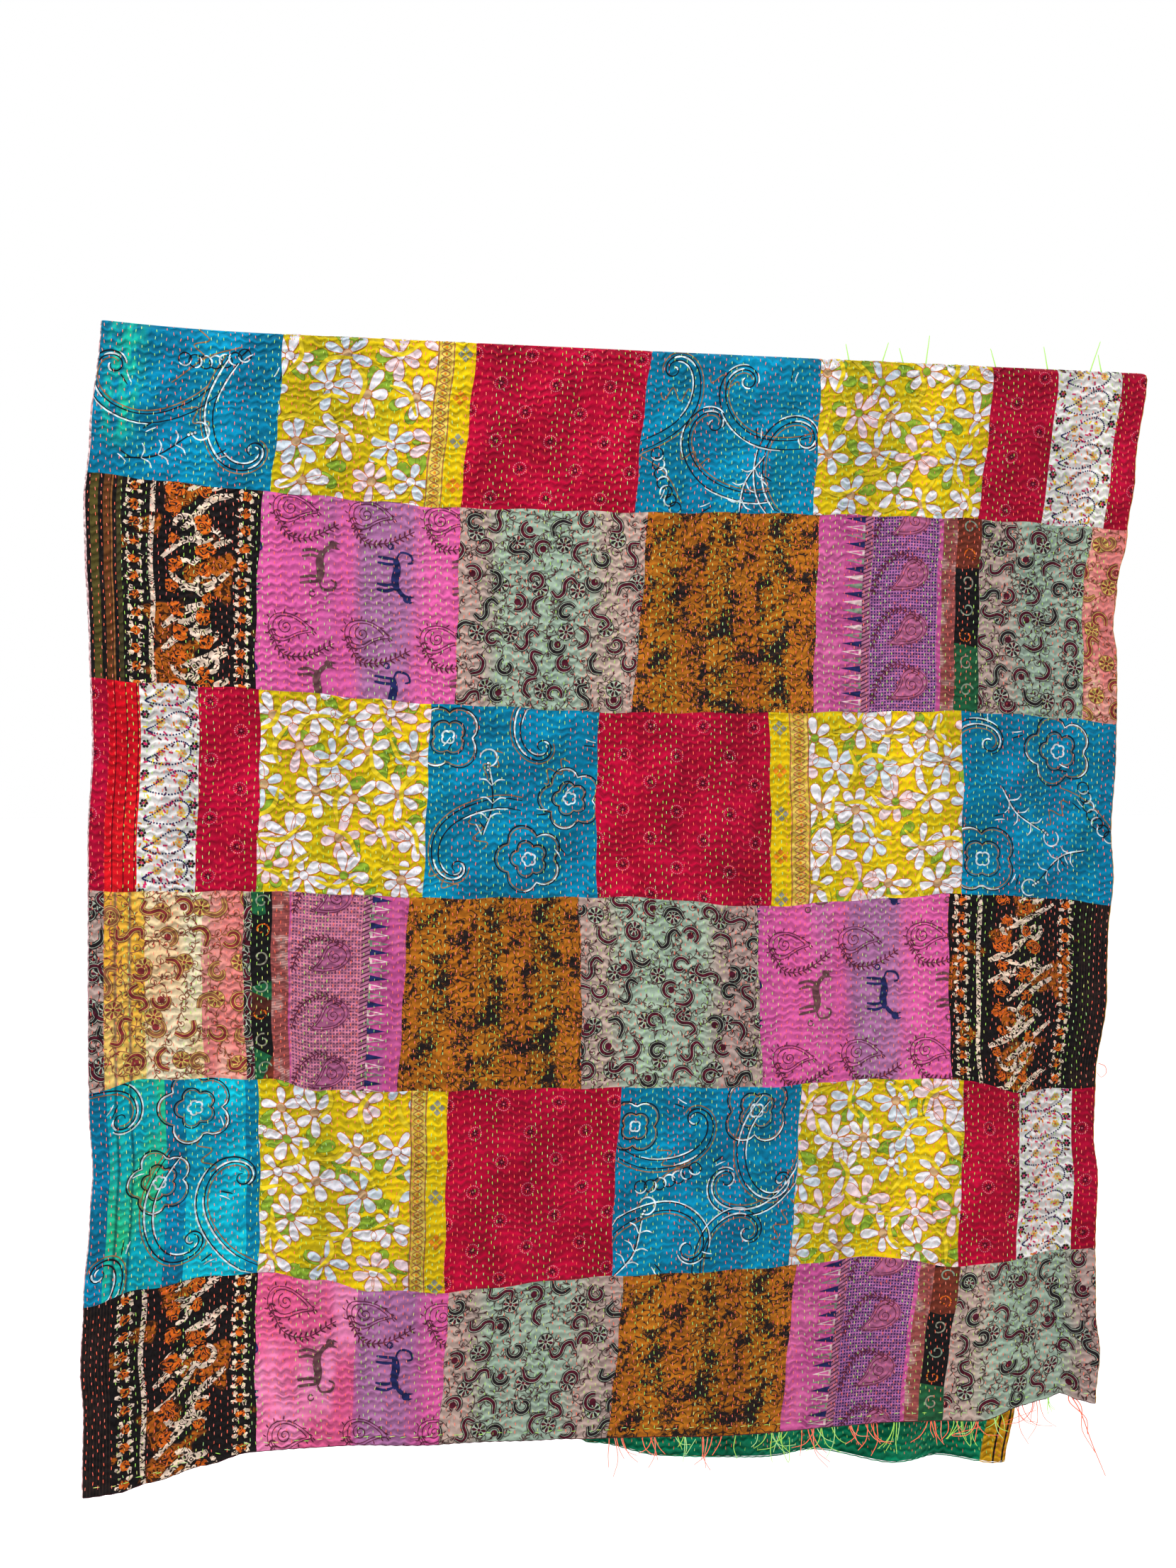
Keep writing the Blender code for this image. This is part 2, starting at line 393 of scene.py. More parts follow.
def grid_faces(rows, columns):
    """Quads of a grid whose points run along each row, wound to face the viewer of p and q."""
    index = np.arange(rows * columns).reshape(rows, columns)
    a, b = index[:-1, :-1].ravel(), index[1:, :-1].ravel()
    c, d = index[1:, 1:].ravel(), index[:-1, 1:].ravel()
    return np.stack([a, b, c, d], axis=1)


# Materials

def new_material(name, finish):
    """Node material, its Look and its shader, whose own sockets hold the finish."""
    material = bpy.data.materials.new(name)
    material.use_nodes = True
    shader = material.node_tree.nodes["Principled BSDF"]
    for socket, value in finish.items():
        shader.inputs[socket].default_value = value
    return material, Look(material.node_tree), shader


class Value:
    """Output of a node, which takes part in sums."""

    def __init__(self, look, socket):
        self.look, self.socket = look, socket

    def __add__(self, other):
        return self.look.math("ADD", self, other)

    def __sub__(self, other):
        return self.look.math("SUBTRACT", self, other)

    def __mul__(self, other):
        return self.look.math("MULTIPLY", self, other)

    def __truediv__(self, other):
        return self.look.math("DIVIDE", self, other)


class Look:
    """One node tree. Each method adds a node and returns its output. Three numbers are a colour."""

    def __init__(self, tree):
        self.tree = tree

    def node(self, kind, inputs=(), output=0, **settings):
        item = self.tree.nodes.new(kind)
        for name, value in settings.items():
            setattr(item, name, value)
        for key, value in dict(inputs).items():
            self.feed(item.inputs[key], value)
        return Value(self, item.outputs[output])

    def feed(self, socket, value):
        if isinstance(value, Value):
            self.tree.links.new(value.socket, socket)
        elif isinstance(value, tuple) and len(value) == 3:
            socket.default_value = colour(*value)
        else:
            socket.default_value = value

    def math(self, operation, first, second=0.0, third=0.0):
        return self.node("ShaderNodeMath", {0: first, 1: second, 2: third}, operation=operation)

    def mix(self, share, low, high, blend="MIX"):
        return self.node("ShaderNodeMix", {0: share, 6: low, 7: high}, output=2,
                         data_type="RGBA", blend_type=blend)

    def ramp(self, value, low, high, to_low=0.0, to_high=1.0):
        """Smooth step from one value to another."""
        return self.node("ShaderNodeMapRange", {0: value, 1: low, 2: high, 3: to_low, 4: to_high},
                         interpolation_type="SMOOTHSTEP")

    def band(self, value, start, end, soft):
        """1 between two values, with soft edges."""
        rise = self.ramp(value, start - soft, start + soft)
        return rise * self.ramp(value, end - soft, end + soft, 1.0, 0.0)

    def split(self, kind, value):
        """The first two parts of a vector or a colour."""
        item = self.tree.nodes.new(kind)
        self.feed(item.inputs[0], value)
        return Value(self, item.outputs[0]), Value(self, item.outputs[1])

    def map(self, name):
        """The two coordinates of a UV map."""
        return self.split("ShaderNodeSeparateXYZ", self.node("ShaderNodeUVMap", uv_map=name))

    def vector(self, x, y, z=0.0):
        return self.node("ShaderNodeCombineXYZ", {0: x, 1: y, 2: z})

    def noise(self, vector, scale, detail=2.0, roughness=0.5):
        return self.node("ShaderNodeTexNoise", {"Vector": vector, "Scale": scale, "Detail": detail,
                                                "Roughness": roughness})

    def bump(self, strength, distance, height):
        return self.node("ShaderNodeBump", {"Strength": strength, "Distance": distance, "Height": height})


def cotton_group():
    """Shared finish of washed, hand-quilted cotton: worn tint, upright bands of painted light and shade,
    puckers between stitches with painted shade and highlight on the creases, and weave.
    """
    group = bpy.data.node_groups.new("washed_cotton", "ShaderNodeTree")
    group.interface.new_socket("Colour", in_out="INPUT", socket_type="NodeSocketColor")
    group.interface.new_socket("Colour", in_out="OUTPUT", socket_type="NodeSocketColor")
    group.interface.new_socket("Normal", in_out="OUTPUT", socket_type="NodeSocketVector")
    look = Look(group)
    plain = Value(look, group.nodes.new("NodeGroupInput").outputs[0])
    across, along = look.map("cloth")
    flat = look.vector(across, along)
    # Creases that zigzag from row to row, and hollows between staggered stitches
    row, step = across / ROW_PITCH, along * (2 * math.pi / RIPPLE_PITCH)
    zigzag = look.math("PINGPONG", row, 1.0) * 1.9
    drift = (look.noise(flat, 15.0, 3.0) - 0.5) * 20.0
    creases = look.math("COSINE", step + zigzag + drift)
    staggered = look.math("COSINE", row * math.pi) * look.math("COSINE", step)
    strength = look.ramp(look.noise(flat, 30.0, 3.0), 0.28, 0.66, 0.45, 1.0)
    pucker = (creases * 0.78 + staggered * 0.30) * strength
    # Faint upright bands of painted light and shade, standing in for the layer behind seen by light through
    # the cloth
    band = look.noise(look.vector(across * 7.0, along * 0.45), 1.0, 3.0, 0.6)
    painted_through_light_bands = look.mix(look.ramp(band, 0.36, 0.64), (0.62, 0.62, 0.64, 1), (0.82, 0.81, 0.79, 1))
    worn = look.mix(look.noise(flat, 420.0, 3.0, 0.7), (0.80, 0.80, 0.80, 1), (1.10, 1.10, 1.10, 1))
    # Painted shade in the crease hollows and painted highlight on their ridges, multiplied into the colour
    # as well as bumped
    shade = look.ramp(pucker, -1.0, 0.7, 0.70, 1.23)
    tinted = look.mix(1.0, look.mix(1.0, plain, painted_through_light_bands, "MULTIPLY"), worn, "MULTIPLY")
    final = look.mix(1.0, tinted, look.vector(shade, shade, shade), "MULTIPLY")
    weave = look.math("SINE", across * WEAVE) * look.math("SINE", along * WEAVE)
    height = pucker + look.noise(flat, 60.0, 4.0, 0.62) * 1.2 + weave * 0.03
    end = group.nodes.new("NodeGroupOutput")
    look.feed(end.inputs[0], final)
    look.feed(end.inputs[1], look.bump(1.0, PUCKER_DEPTH, height))
    return group


COTTON = cotton_group()


def cotton(name, paint):
    """Cotton material whose colour comes from paint(look), or is one colour."""
    material, look, shader = new_material(name, COTTON_FINISH)
    finish = material.node_tree.nodes.new("ShaderNodeGroup")
    finish.node_tree = COTTON
    look.feed(finish.inputs[0], paint(look) if callable(paint) else paint)
    for socket, output in zip(("Base Color", "Normal"), finish.outputs):
        look.feed(shader.inputs[socket], Value(look, output))
    return material


def two_tone(low, high, scale, stretch=1.0):
    """Paint that drifts between two colours over the patch."""
    def paint(look):
        p, q = look.map("print")
        cloud = look.noise(look.vector(p, q * stretch), scale, 3.0)
        return look.mix(look.ramp(cloud, 0.42, 0.58), low, high)
    return paint


def blue_paint(look):
    """Blue that drifts from deep to bright, with soft greener streaks."""
    p, q = look.map("print")
    field = look.noise(look.vector(p + q * 0.6, q), 9.0, 4.0, 0.6)
    deep = look.mix(look.ramp(field, 0.40, 0.62), (0, 116, 154), (0, 148, 194))
    streaks = look.noise(look.vector(p * 26.0, q * 4.0), 1.0, 2.0)
    return look.mix(look.ramp(streaks, 0.60, 0.74, 0.0, 0.6), deep, (4, 142, 158))


def glow_paint(look):
    """The blue with a soft green glow near its left side, where light comes through the layers."""
    p, q = look.map("print")
    near = look.ramp(look.math("ABSOLUTE", p - 0.034), 0.004, 0.036, 1.0, 0.0)
    patchy = look.ramp(look.noise(look.vector(p, q * 0.3), 90.0, 3.0), 0.36, 0.62)
    glow = near * patchy * look.ramp(q, 0.13, 0.19, 0.85, 0.0)
    return look.mix(glow, blue_paint(look), (30, 206, 164))


def crimson_paint(look):
    """Rings of pale dots in staggered rows, each round a small dark star."""
    pitch_p, pitch_q, ring, dots, dot = 0.078, 0.040, 0.0088, 19, 0.00095
    p, q = look.map("print")
    row = look.math("FLOOR", q / pitch_q)
    shift = look.math("MODULO", look.math("ABSOLUTE", row), 2.0) * (pitch_p / 2)
    cell_p = look.math("WRAP", p + shift, pitch_p / 2, -pitch_p / 2)
    cell_q = look.math("WRAP", q, pitch_q, 0.0) - pitch_q / 2
    radius = look.math("SQRT", cell_p * cell_p + cell_q * cell_q)
    angle = look.math("ARCTAN2", cell_q, cell_p)
    along = (look.math("FRACT", angle * (dots / (2 * math.pi))) - 0.5) * (2 * math.pi * ring / dots)
    off = radius - ring
    distance = look.math("SQRT", along * along + off * off)
    cloud = look.ramp(look.noise(look.vector(p, q), 11.0, 4.0), 0.38, 0.62)
    ground = look.mix(cloud, (166, 2, 44), (198, 6, 58))
    dotted = look.mix(look.ramp(distance, dot * 0.7, dot * 1.2, 1.0, 0.0), ground, (224, 112, 132))
    petals = look.math("COSINE", angle * 8.0) * 0.0016 + 0.0044
    starred = look.mix(look.ramp(radius - petals, -0.0006, 0.0004, 1.0, 0.0), dotted, (80, 6, 30))
    return look.mix(look.ramp(radius, 0.0010, 0.0017, 1.0, 0.0), starred, (206, 96, 116))


def crackle(look, vector, scale, width):
    """Short winding lines where wax cracked."""
    field = look.noise(vector, scale, 1.0) * 6.0
    line = look.ramp(look.math("PINGPONG", field, 0.5), width * 0.5, width, 1.0, 0.0)
    return line * look.ramp(look.noise(vector, scale * 1.7, 0.0), 0.38, 0.46)


def batik_paint(look):
    """Near black with rust patches, cracked all over."""
    flat = look.vector(*look.map("print"))
    rust = look.mix(look.noise(flat, 90.0, 3.0), (150, 70, 14), (204, 112, 30))
    ground = look.mix(look.ramp(look.noise(flat, 13.0, 2.0), 0.53, 0.57), (26, 22, 24), rust)
    return look.mix(crackle(look, flat, 84.0, 0.30) * 0.9, ground, (20, 14, 14))


def worm_paint(low, high):
    """Two close colours broken up by short dark cracks."""
    def paint(look):
        flat = look.vector(*look.map("print"))
        ground = look.mix(look.noise(flat, 70.0, 3.0), low, high)
        return look.mix(crackle(look, flat, 88.0, 0.32), ground, (38, 28, 26))
    return paint


def pink_paint(look):
    """Pink with broad mauve bands down it."""
    p, q = look.map("print")
    zone = look.noise(look.vector(p * 9.0, q * 0.7), 1.0, 2.0)
    return look.mix(look.ramp(zone, 0.44, 0.58), (226, 96, 168), (176, 112, 164))


def sage_paint(look):
    """Sage green in the middle, which gives way to dusty rose at both sides."""
    p, q = look.map("print")
    flat = look.vector(p, q)
    ragged = look.math("ABSOLUTE", p - 0.12) + look.noise(flat, 20.0, 2.0) * 0.03
    green = look.mix(look.noise(flat, 30.0, 3.0), (146, 176, 158), (182, 196, 176))
    rose = look.mix(look.noise(look.vector(q, p), 24.0, 3.0), (178, 148, 140), (206, 184, 172))
    return look.mix(look.ramp(ragged, 0.070, 0.100), green, rose)


def brown_paint(look):
    """Brown with clusters of spiky dark leaves and fine dark line drawing."""
    flat = look.vector(*look.map("print"))
    spikes = (look.noise(flat, 120.0, 6.0, 0.85) - 0.5) * 1.25
    blots = look.ramp(look.noise(flat, 27.0, 2.0) + spikes, 0.545, 0.570)
    ink = look.math("MAXIMUM", blots, crackle(look, flat, 52.0, 0.15) * 0.95)
    return look.mix(ink, look.mix(look.noise(flat, 15.0, 3.0), (158, 82, 14), (204, 128, 34)), (36, 28, 28))


def net_paint(low, high, square):
    """Small dark squares in straight rows."""
    def paint(look):
        p, q = look.map("print")
        inside = [look.ramp(look.math("ABSOLUTE", look.math("FRACT", value / NET_PITCH) - 0.5), 0.27,
                            0.35, 1.0, 0.0)
                  for value in (p, q)]
        ground = look.mix(look.noise(look.vector(p, q), 18.0), low, high)
        return look.mix(inside[0] * inside[1], ground, square)
    return paint


def stripe_paint(period, inks, ground):
    """Upright stripes that repeat: each ink has a start and an end share of the period."""
    def paint(look):
        place = look.math("FRACT", look.map("print")[0] / period)
        result = ground(look)
        for start, end, ink in inks:
            result = look.mix(look.band(place, start, end, 0.01), result, ink)
        return result
    return paint


def hatch_paint(look):
    """Short slanting strokes."""
    p, q = look.map("print")
    place = look.math("FRACT", (q + p * 0.5) / 0.0058)
    stroke = look.ramp(look.math("ABSOLUTE", place - 0.5), 0.12, 0.24, 1.0, 0.0)
    return look.mix(stroke, (190, 116, 150), (92, 44, 74))


def copper_paint(look):
    """Metal thread: fine level strokes, pale where the light catches them."""
    p, q = look.map("print")
    glint = look.ramp(look.noise(look.vector(p * 30.0, q * 34.0), 1.0, 3.0), 0.50, 0.60)
    base = look.mix(glint, (176, 92, 84), (232, 190, 180))
    return look.mix(look.ramp(look.math("SINE", q * 2800.0), -0.2, 0.6), (126, 62, 66), base)


def block_paint(look):
    """Dark strip with green and brown blocks."""
    p, q = look.map("print")
    cells = look.node("ShaderNodeTexVoronoi", {"Vector": look.vector(p * 0.6, q), "Scale": 22.0}, output=1,
                      feature="F1")
    first, second = look.split("ShaderNodeSeparateColor", cells)
    greenish = look.mix(look.ramp(first, 0.55, 0.60), (22, 20, 22), (28, 92, 58))
    return look.mix(look.ramp(second, 0.74, 0.78), greenish, (112, 50, 36))


def backing_paint(look):
    """Green with a gold border along the right side, which has two black stripes."""
    across, along = look.map("cloth")
    flat = look.vector(across, along)
    green = look.mix(look.ramp(look.noise(flat, 12.0, 4.0), 0.38, 0.62), (0, 112, 78), (4, 142, 100))
    gold = look.mix(look.ramp(look.noise(flat, 40.0, 3.0), 0.35, 0.65), (196, 134, 10), (228, 172, 24))
    border = QUILT_WIDTH - GOLD_BORDER
    result = look.mix(look.ramp(across, border - 0.001, border + 0.001), green, gold)
    for start, end in GOLD_STRIPES:
        inside = look.band(across, QUILT_WIDTH - start, QUILT_WIDTH - end, 0.0006)
        result = look.mix(inside, result, (28, 20, 14))
    return result


TWO_LINES = ((0.130, 0.142), (0.206, 0.218))
# Grounds with lit, glow or bright in their name, and the gold, cream and rose sage grounds, are painted
# light: brighter copies of a fabric where light shines through the layers
GROUNDS = {
    "blue": blue_paint,
    "blue_lit": stripe_paint(0.25, [(*line, (10, 70, 84)) for line in TWO_LINES],
                             two_tone((0, 176, 196), (40, 206, 150), 14.0, 0.4)),
    "blue_glow": glow_paint,
    "blue_bright": two_tone((0, 150, 186), (10, 200, 226), 9.0, 1.4),
    "daisy": two_tone((208, 184, 14), (242, 206, 12), 8.0, 0.3),
    "yellow": two_tone((226, 190, 8), (244, 210, 10), 8.0, 0.3),
    "braid": two_tone((220, 186, 60), (236, 206, 96), 60.0),
    "crimson": crimson_paint,
    "red_lit": stripe_paint(0.0145, ((0.0, 0.10, (110, 0, 20)),),
                            two_tone((206, 6, 30), (240, 24, 36), 20.0, 0.2)),
    "paisley": two_tone((226, 222, 218), (248, 244, 240), 20.0),
    "batik": batik_paint,
    "black_plain": stripe_paint(0.0041, ((0.1, 0.35, (52, 38, 32)),),
                                two_tone((22, 18, 20), (38, 28, 28), 20.0)),
    "stripes": stripe_paint(0.052, ((0.10, 0.30, (84, 76, 34)), (0.42, 0.58, (104, 62, 30)),
                                    (0.60, 0.64, (150, 96, 50)), (0.74, 0.90, (66, 60, 34)),
                                    (0.95, 0.98, (140, 120, 90))),
                            two_tone((20, 17, 18), (32, 26, 26), 40.0)),
    "pink": pink_paint,
    "pink_lit": two_tone((236, 96, 150), (246, 140, 190), 12.0, 0.5),
    "pink_plain": two_tone((200, 84, 150), (218, 104, 164), 14.0),
    "sage": sage_paint,
    "sage_gold": stripe_paint(0.25, [(*line, (120, 100, 96)) for line in TWO_LINES],
                              two_tone((252, 188, 62), (255, 224, 130), 11.0, 0.3)),
    "sage_cream": two_tone((250, 214, 160), (255, 240, 200), 10.0, 0.3),
    "sage_rose": two_tone((232, 134, 130), (246, 184, 166), 12.0, 0.3),
    "brown": brown_paint,
    "triangles": two_tone((206, 84, 152), (186, 96, 152), 12.0, 0.3),
    "hatch": hatch_paint,
    "net": net_paint((194, 108, 166), (166, 108, 164), (62, 44, 100)),
    "net_lit": net_paint((232, 138, 158), (202, 118, 150), (128, 80, 118)),
    "copper": copper_paint,
    "dark_strip": block_paint,
}
GROUNDS["triangles_right"] = GROUNDS["triangles"]
INKS = {
    "white": (222, 240, 246), "black": (20, 24, 34), "ochre": (158, 114, 72), "orange": (228, 132, 30),
    "petal": (236, 234, 240), "petal_cool": (212, 224, 234), "petal_rose": (240, 214, 220),
    "petal_tan": (204, 166, 122), "line_brown": (172, 98, 66), "line_orange": (212, 118, 70),
    "leaf": (142, 174, 50), "leaf_dark": (108, 138, 38), "swoosh": (236, 208, 40), "grey": (148, 146, 128),
    "maroon": (84, 20, 40), "plum": (104, 42, 66), "navy": (34, 40, 92), "cat_brown": (112, 70, 78),
    "magenta": (214, 44, 104), "grey_green": (134, 150, 130), "cream_pink": (236, 206, 206),
    "mauve": (176, 96, 138), "straw": (224, 190, 96), "sepia": (92, 74, 68), "lit_brown": (156, 96, 66),
    "lit_maroon": (140, 48, 52), "ink_dark": (38, 30, 34), "sage_pale": (176, 186, 168),
    "cream": worm_paint((242, 220, 176), (250, 218, 212)), "rust": worm_paint((228, 120, 26), (216, 84, 30)),
}
LOOKS = {name: cotton("cloth_" + name, paint) for name, paint in GROUNDS.items()}
LOOKS.update({name: cotton("ink_" + name, paint) for name, paint in INKS.items()})
LOOKS["backing"] = cotton("backing_green", backing_paint)
LOOKS["edge"] = cotton("turned_edge", two_tone((206, 158, 160), (232, 206, 206), 30.0))


def thread_look(name, shade):
    """Stranded cotton thread: soft sheen, with the twist as a fine bump."""
    material, look, shader = new_material(name, THREAD_FINISH)
    fuzz = look.noise(look.node("ShaderNodeTexCoord", output=3), 900.0, 2.0)
    dark = colour(*shade)
    pale = tuple(min(1, value * 1.12) for value in dark[:3]) + (1,)
    look.feed(shader.inputs["Base Color"], look.mix(fuzz, dark, pale))
    look.feed(shader.inputs["Normal"], look.bump(0.5, 0.0003, fuzz))
    return material


CORAL_THREADS, GREEN_THREADS = (
    [thread_look("thread_" + name, shade) for name, shade in threads] for threads in (
        (("coral", (240, 92, 60)), ("salmon", (232, 120, 98)), ("rose", (226, 96, 84))),
        (("lime", (150, 206, 76)), ("mint", (158, 208, 130)), ("straw", (198, 206, 108)))))


# Drawing prints, with p and q held as one complex number

class Print:
    """Flat shapes of one strip of a patch, kept inside the strip."""

    def __init__(self, start, end, height, seed):
        self.start, self.end, self.height = start, end, height
        self.width = end - start
        self.draw = random.Random(seed)
        self.points, self.levels, self.faces, self.inks = [], [], [], []
        self.count = 0

    def add(self, points, faces, ink, level):
        points = np.asarray(points)
        held = np.clip(points.real, self.start, self.end) + 1j * np.clip(points.imag, 0, self.height)
        self.points.append(held)
        self.levels.append(np.full(len(points), level, float))
        self.faces += [tuple(int(k) + self.count for k in face) for face in faces]
        self.inks += [ink] * len(faces)
        self.count += len(points)

    def ribbon(self, path, width, ink, level=1):
        """Stroke along a path, with one width or one width for each point."""
        count = len(path)
        faces = [(k, count + k, count + k + 1, k + 1) for k in range(count - 1)]
        half = np.asarray(width) / 2
        self.add(np.concatenate([beside(path, -half), beside(path, half)]), faces, ink, level)

    def stroke(self, path, width, ink, level=1, ends=0.35):
        """Brush stroke that swells in its middle."""
        share = np.linspace(0, 1, len(path))
        swell = ends + (1 - ends) * np.sqrt(np.sin(math.pi * np.clip(share, 0.02, 0.98)))
        self.ribbon(path, width * swell, ink, level)

    def blob(self, outline, ink, level=1):
        """Filled shape that its middle point sees all of; a small one is a single face."""
        outline = np.asarray(outline, complex)
        middle, count = outline.mean(), len(outline)
        if np.abs(outline - middle).max() < SMALL_SHAPE:
            self.add(outline, [tuple(range(count))], ink, level)
            return
        half = (outline + middle) / 2
        faces = [(count + k, count + (k + 1) % count, 2 * count) for k in range(count)]
        faces += [(k, (k + 1) % count, count + (k + 1) % count, count + k) for k in range(count)]
        self.add(np.concatenate([outline, half, [middle]]), faces, ink, level)

    def outlined(self, outline, fill, line, width, level=1):
        self.blob(outline, fill, level)
        self.ribbon(np.append(outline, outline[:2]), width, line, level + 1)

    def spots(self, margin=0.0, pitch=0.05, jitter=0.3):
        """Places spread over the strip, a little off a staggered grid."""
        rows = max(1, round(self.height / (pitch * 0.87)))
        columns = max(1, round(self.width / pitch))
        for row in range(-1, rows + 1):
            for column in range(-1, columns + 1):
                shift = 0.5 * (row % 2) + 0.25
                p = self.start + (column + shift + self.draw.uniform(-jitter, jitter)) * self.width / columns
                q = (row + 0.5 + self.draw.uniform(-jitter, jitter)) * self.height / rows
                if self.start - margin < p < self.end + margin and -margin < q < self.height + margin:
                    yield p + 1j * q


def turned(angle):
    return complex(math.cos(angle), math.sin(angle))


def smooth(*knots, steps=6):
    """Smooth path through its knots, which are complex numbers or 3-D points."""
    knots = np.asarray(knots)
    padded = np.concatenate([[2 * knots[0] - knots[1]], knots, [2 * knots[-1] - knots[-2]]])
    t = np.linspace(0, 1, steps, endpoint=False).reshape([-1] + [1] * (knots.ndim - 1))
    pieces = [0.5 * (2 * b + (c - a) * t + (2 * a - 5 * b + 4 * c - d) * t ** 2
                     + (3 * b - a - 3 * c + d) * t ** 3)
              for a, b, c, d in zip(padded, padded[1:], padded[2:], padded[3:])]
    return np.concatenate(pieces + [knots[-1:]])


def round_turn(count):
    return 2 * math.pi * np.arange(count) / count


def circle(middle, radius, count=12):
    return middle + radius * np.exp(1j * round_turn(count))


def spiral(middle, radius, turns, start, count=26, inner=0.12):
    share = np.linspace(0, 1, count)
    reach = radius * (inner + (1 - inner) * share)
    return middle + reach * np.exp(1j * (start + 2 * math.pi * turns * share))


def beside(path, distance):
    """The path moved to one side."""
    step = np.gradient(np.asarray(path, complex))
    return path + 1j * step / np.maximum(np.abs(step), 1e-9) * distance


def egg(root, heading, length, width, count=12):
    """Rounded petal or leaf, widest towards its tip."""
    along = 0.5 - 0.5 * np.cos(round_turn(count))
    half = np.sin(round_turn(count)) * (0.35 + 0.65 * along) * width / 2
    return root + heading * (along * length + 1j * half)


def spear(root, heading, length, width, count=8):
    """Leaf that is pointed at both ends."""
    along = 0.5 - 0.5 * np.cos(round_turn(count))
    return root + heading * (along * length + 1j * np.sin(round_turn(count)) ** 3 * width / 2)


def paisley(middle, size, heading, count=20):
    """Teardrop whose tip curls over to one side."""
    turn = round_turn(count)
    drop = np.cos(turn) * 0.62 + 1j * np.sin(turn) * 0.36 * (1 - np.cos(turn) * 0.55)
    return middle + size * heading * (drop + 0.75j * np.maximum(drop.real, 0) ** 2)


def any_way(draw):
    return turned(draw.uniform(0, 2 * math.pi))


def draw_blue(page):
    """Brush-drawn vines that end in volutes, lobed blossoms, loop chains and hooked stems."""
    draw = page.draw

    def brushed(path, cover=0.4, width=0.0021):
        """Dark line with pale strokes laid beside parts of it."""
        path = np.asarray(path, complex)
        page.stroke(path, 0.0019, "black", 2, 0.5)
        pale, start = beside(path, 0.0016), 0
        while start < len(path) - 3:
            run = draw.randint(4, 8)
            if draw.random() < cover:
                page.stroke(pale[start:start + run + 1], width, "white", 3, 0.4)
            start += run

    def beads(place, heading):
        for step in (-1, 0, 1):
            page.blob(circle(place + heading * step * 0.0046, 0.0027, 7), "black", 4)
            page.blob(circle(place + heading * step * 0.0046, 0.0019, 7), "white", 5)

    def blossom(place, radius):
        lobes, turn = draw.choice((4, 5)), np.linspace(0, 2 * math.pi, 54) + draw.uniform(0, 2)
        lobed = (0.74 + 0.30 * np.abs(np.sin(turn * lobes / 2)) ** 0.7) * np.exp(1j * turn)
        brushed(place + radius * lobed, 0.45)
        page.ribbon(place + radius * 0.93 * lobed, 0.0014, "ochre", 1)
        page.stroke(place + radius * 0.56 * lobed, 0.0018, "black", 2)
        page.ribbon(place + radius * 0.50 * lobed, 0.0013, "ochre", 1)
        page.stroke(place + radius * 0.20 * lobed, 0.0026, "white", 3, 0.7)

    def volute(place):
        share = np.linspace(0, 1, 60)
        angle = draw.uniform(0, 2 * math.pi) + draw.choice((-1, 1)) * 2 * math.pi * 1.55 * share ** 0.75
        path = place + (0.005 + 0.020 * share + 0.105 * share ** 6) * np.exp(1j * angle)
        brushed(path, 0.45, 0.0025)
        brushed(beside(path, 0.011 * share ** 2 + 0.003)[18:], 0.45)
        page.ribbon(beside(path, -0.0045)[20:], 0.0015, "ochre", 1)

    def chain(root, heading):
        for k in range(7):
            place = root + heading * turned(k * 0.05) * k * 0.0135
            page.ribbon(spiral(place, 0.0088, 1.1, k, 16, 0.96), 0.0017, "black", 2)
            page.stroke(spiral(place, 0.0088, 0.38, k + 0.5, 8, 0.96), 0.0022, "white", 3)
        page.ribbon(smooth(root + 0.012j * heading, root + heading * (0.05 + 0.016j),
                           root + heading * 0.105),
                    0.0015, "ochre", 1)

    def stem(root, heading):
        path = smooth(root, root + heading * 0.045 * turned(0.25), root + heading * 0.095)
        brushed(path, 0.6)
        for share in (3, 6, 9):
            for hand in (-1, 1):
                out = heading * turned(hand * 0.85) * 0.020
                tip = path[share] + out * turned(hand * 0.3)
                page.stroke(smooth(path[share], path[share] + out * 0.6, tip, steps=3), 0.0020, "white", 3)
        page.stroke(path[-1] + 0.012 * heading * (1 + np.exp(1j * np.linspace(math.pi, -1.6, 16))), 0.0023,
                    "white", 3, 0.7)
        beads(path[-1], heading)

    for place in page.spots(0.01, 0.104, 0.12):
        kind, heading = draw.randrange(6), any_way(draw)
        if kind < 2:
            volute(place)
        elif kind < 4:
            blossom(place, draw.uniform(0.036, 0.052))
        elif kind == 4:
            stem(place - heading * 0.05, heading)
        else:
            chain(place - heading * 0.045, heading)
    for place in page.spots(0.0, 0.090, 0.4):
        heading = any_way(draw)
        wave = np.linspace(0, 1, 30)
        if draw.random() < 0.4:
            page.ribbon(place + heading * (0.045 * wave + 0.009j * np.sin(wave * 12)), 0.0016, "ochre", 1)
        else:
            page.stroke(place + heading * (0.018 * wave[::6] + 0.004j * wave[::6] ** 2), 0.0018, "white", 3)
            page.stroke(place + heading * (0.020 * wave[::6] - 0.006j), 0.0018, "black", 2)


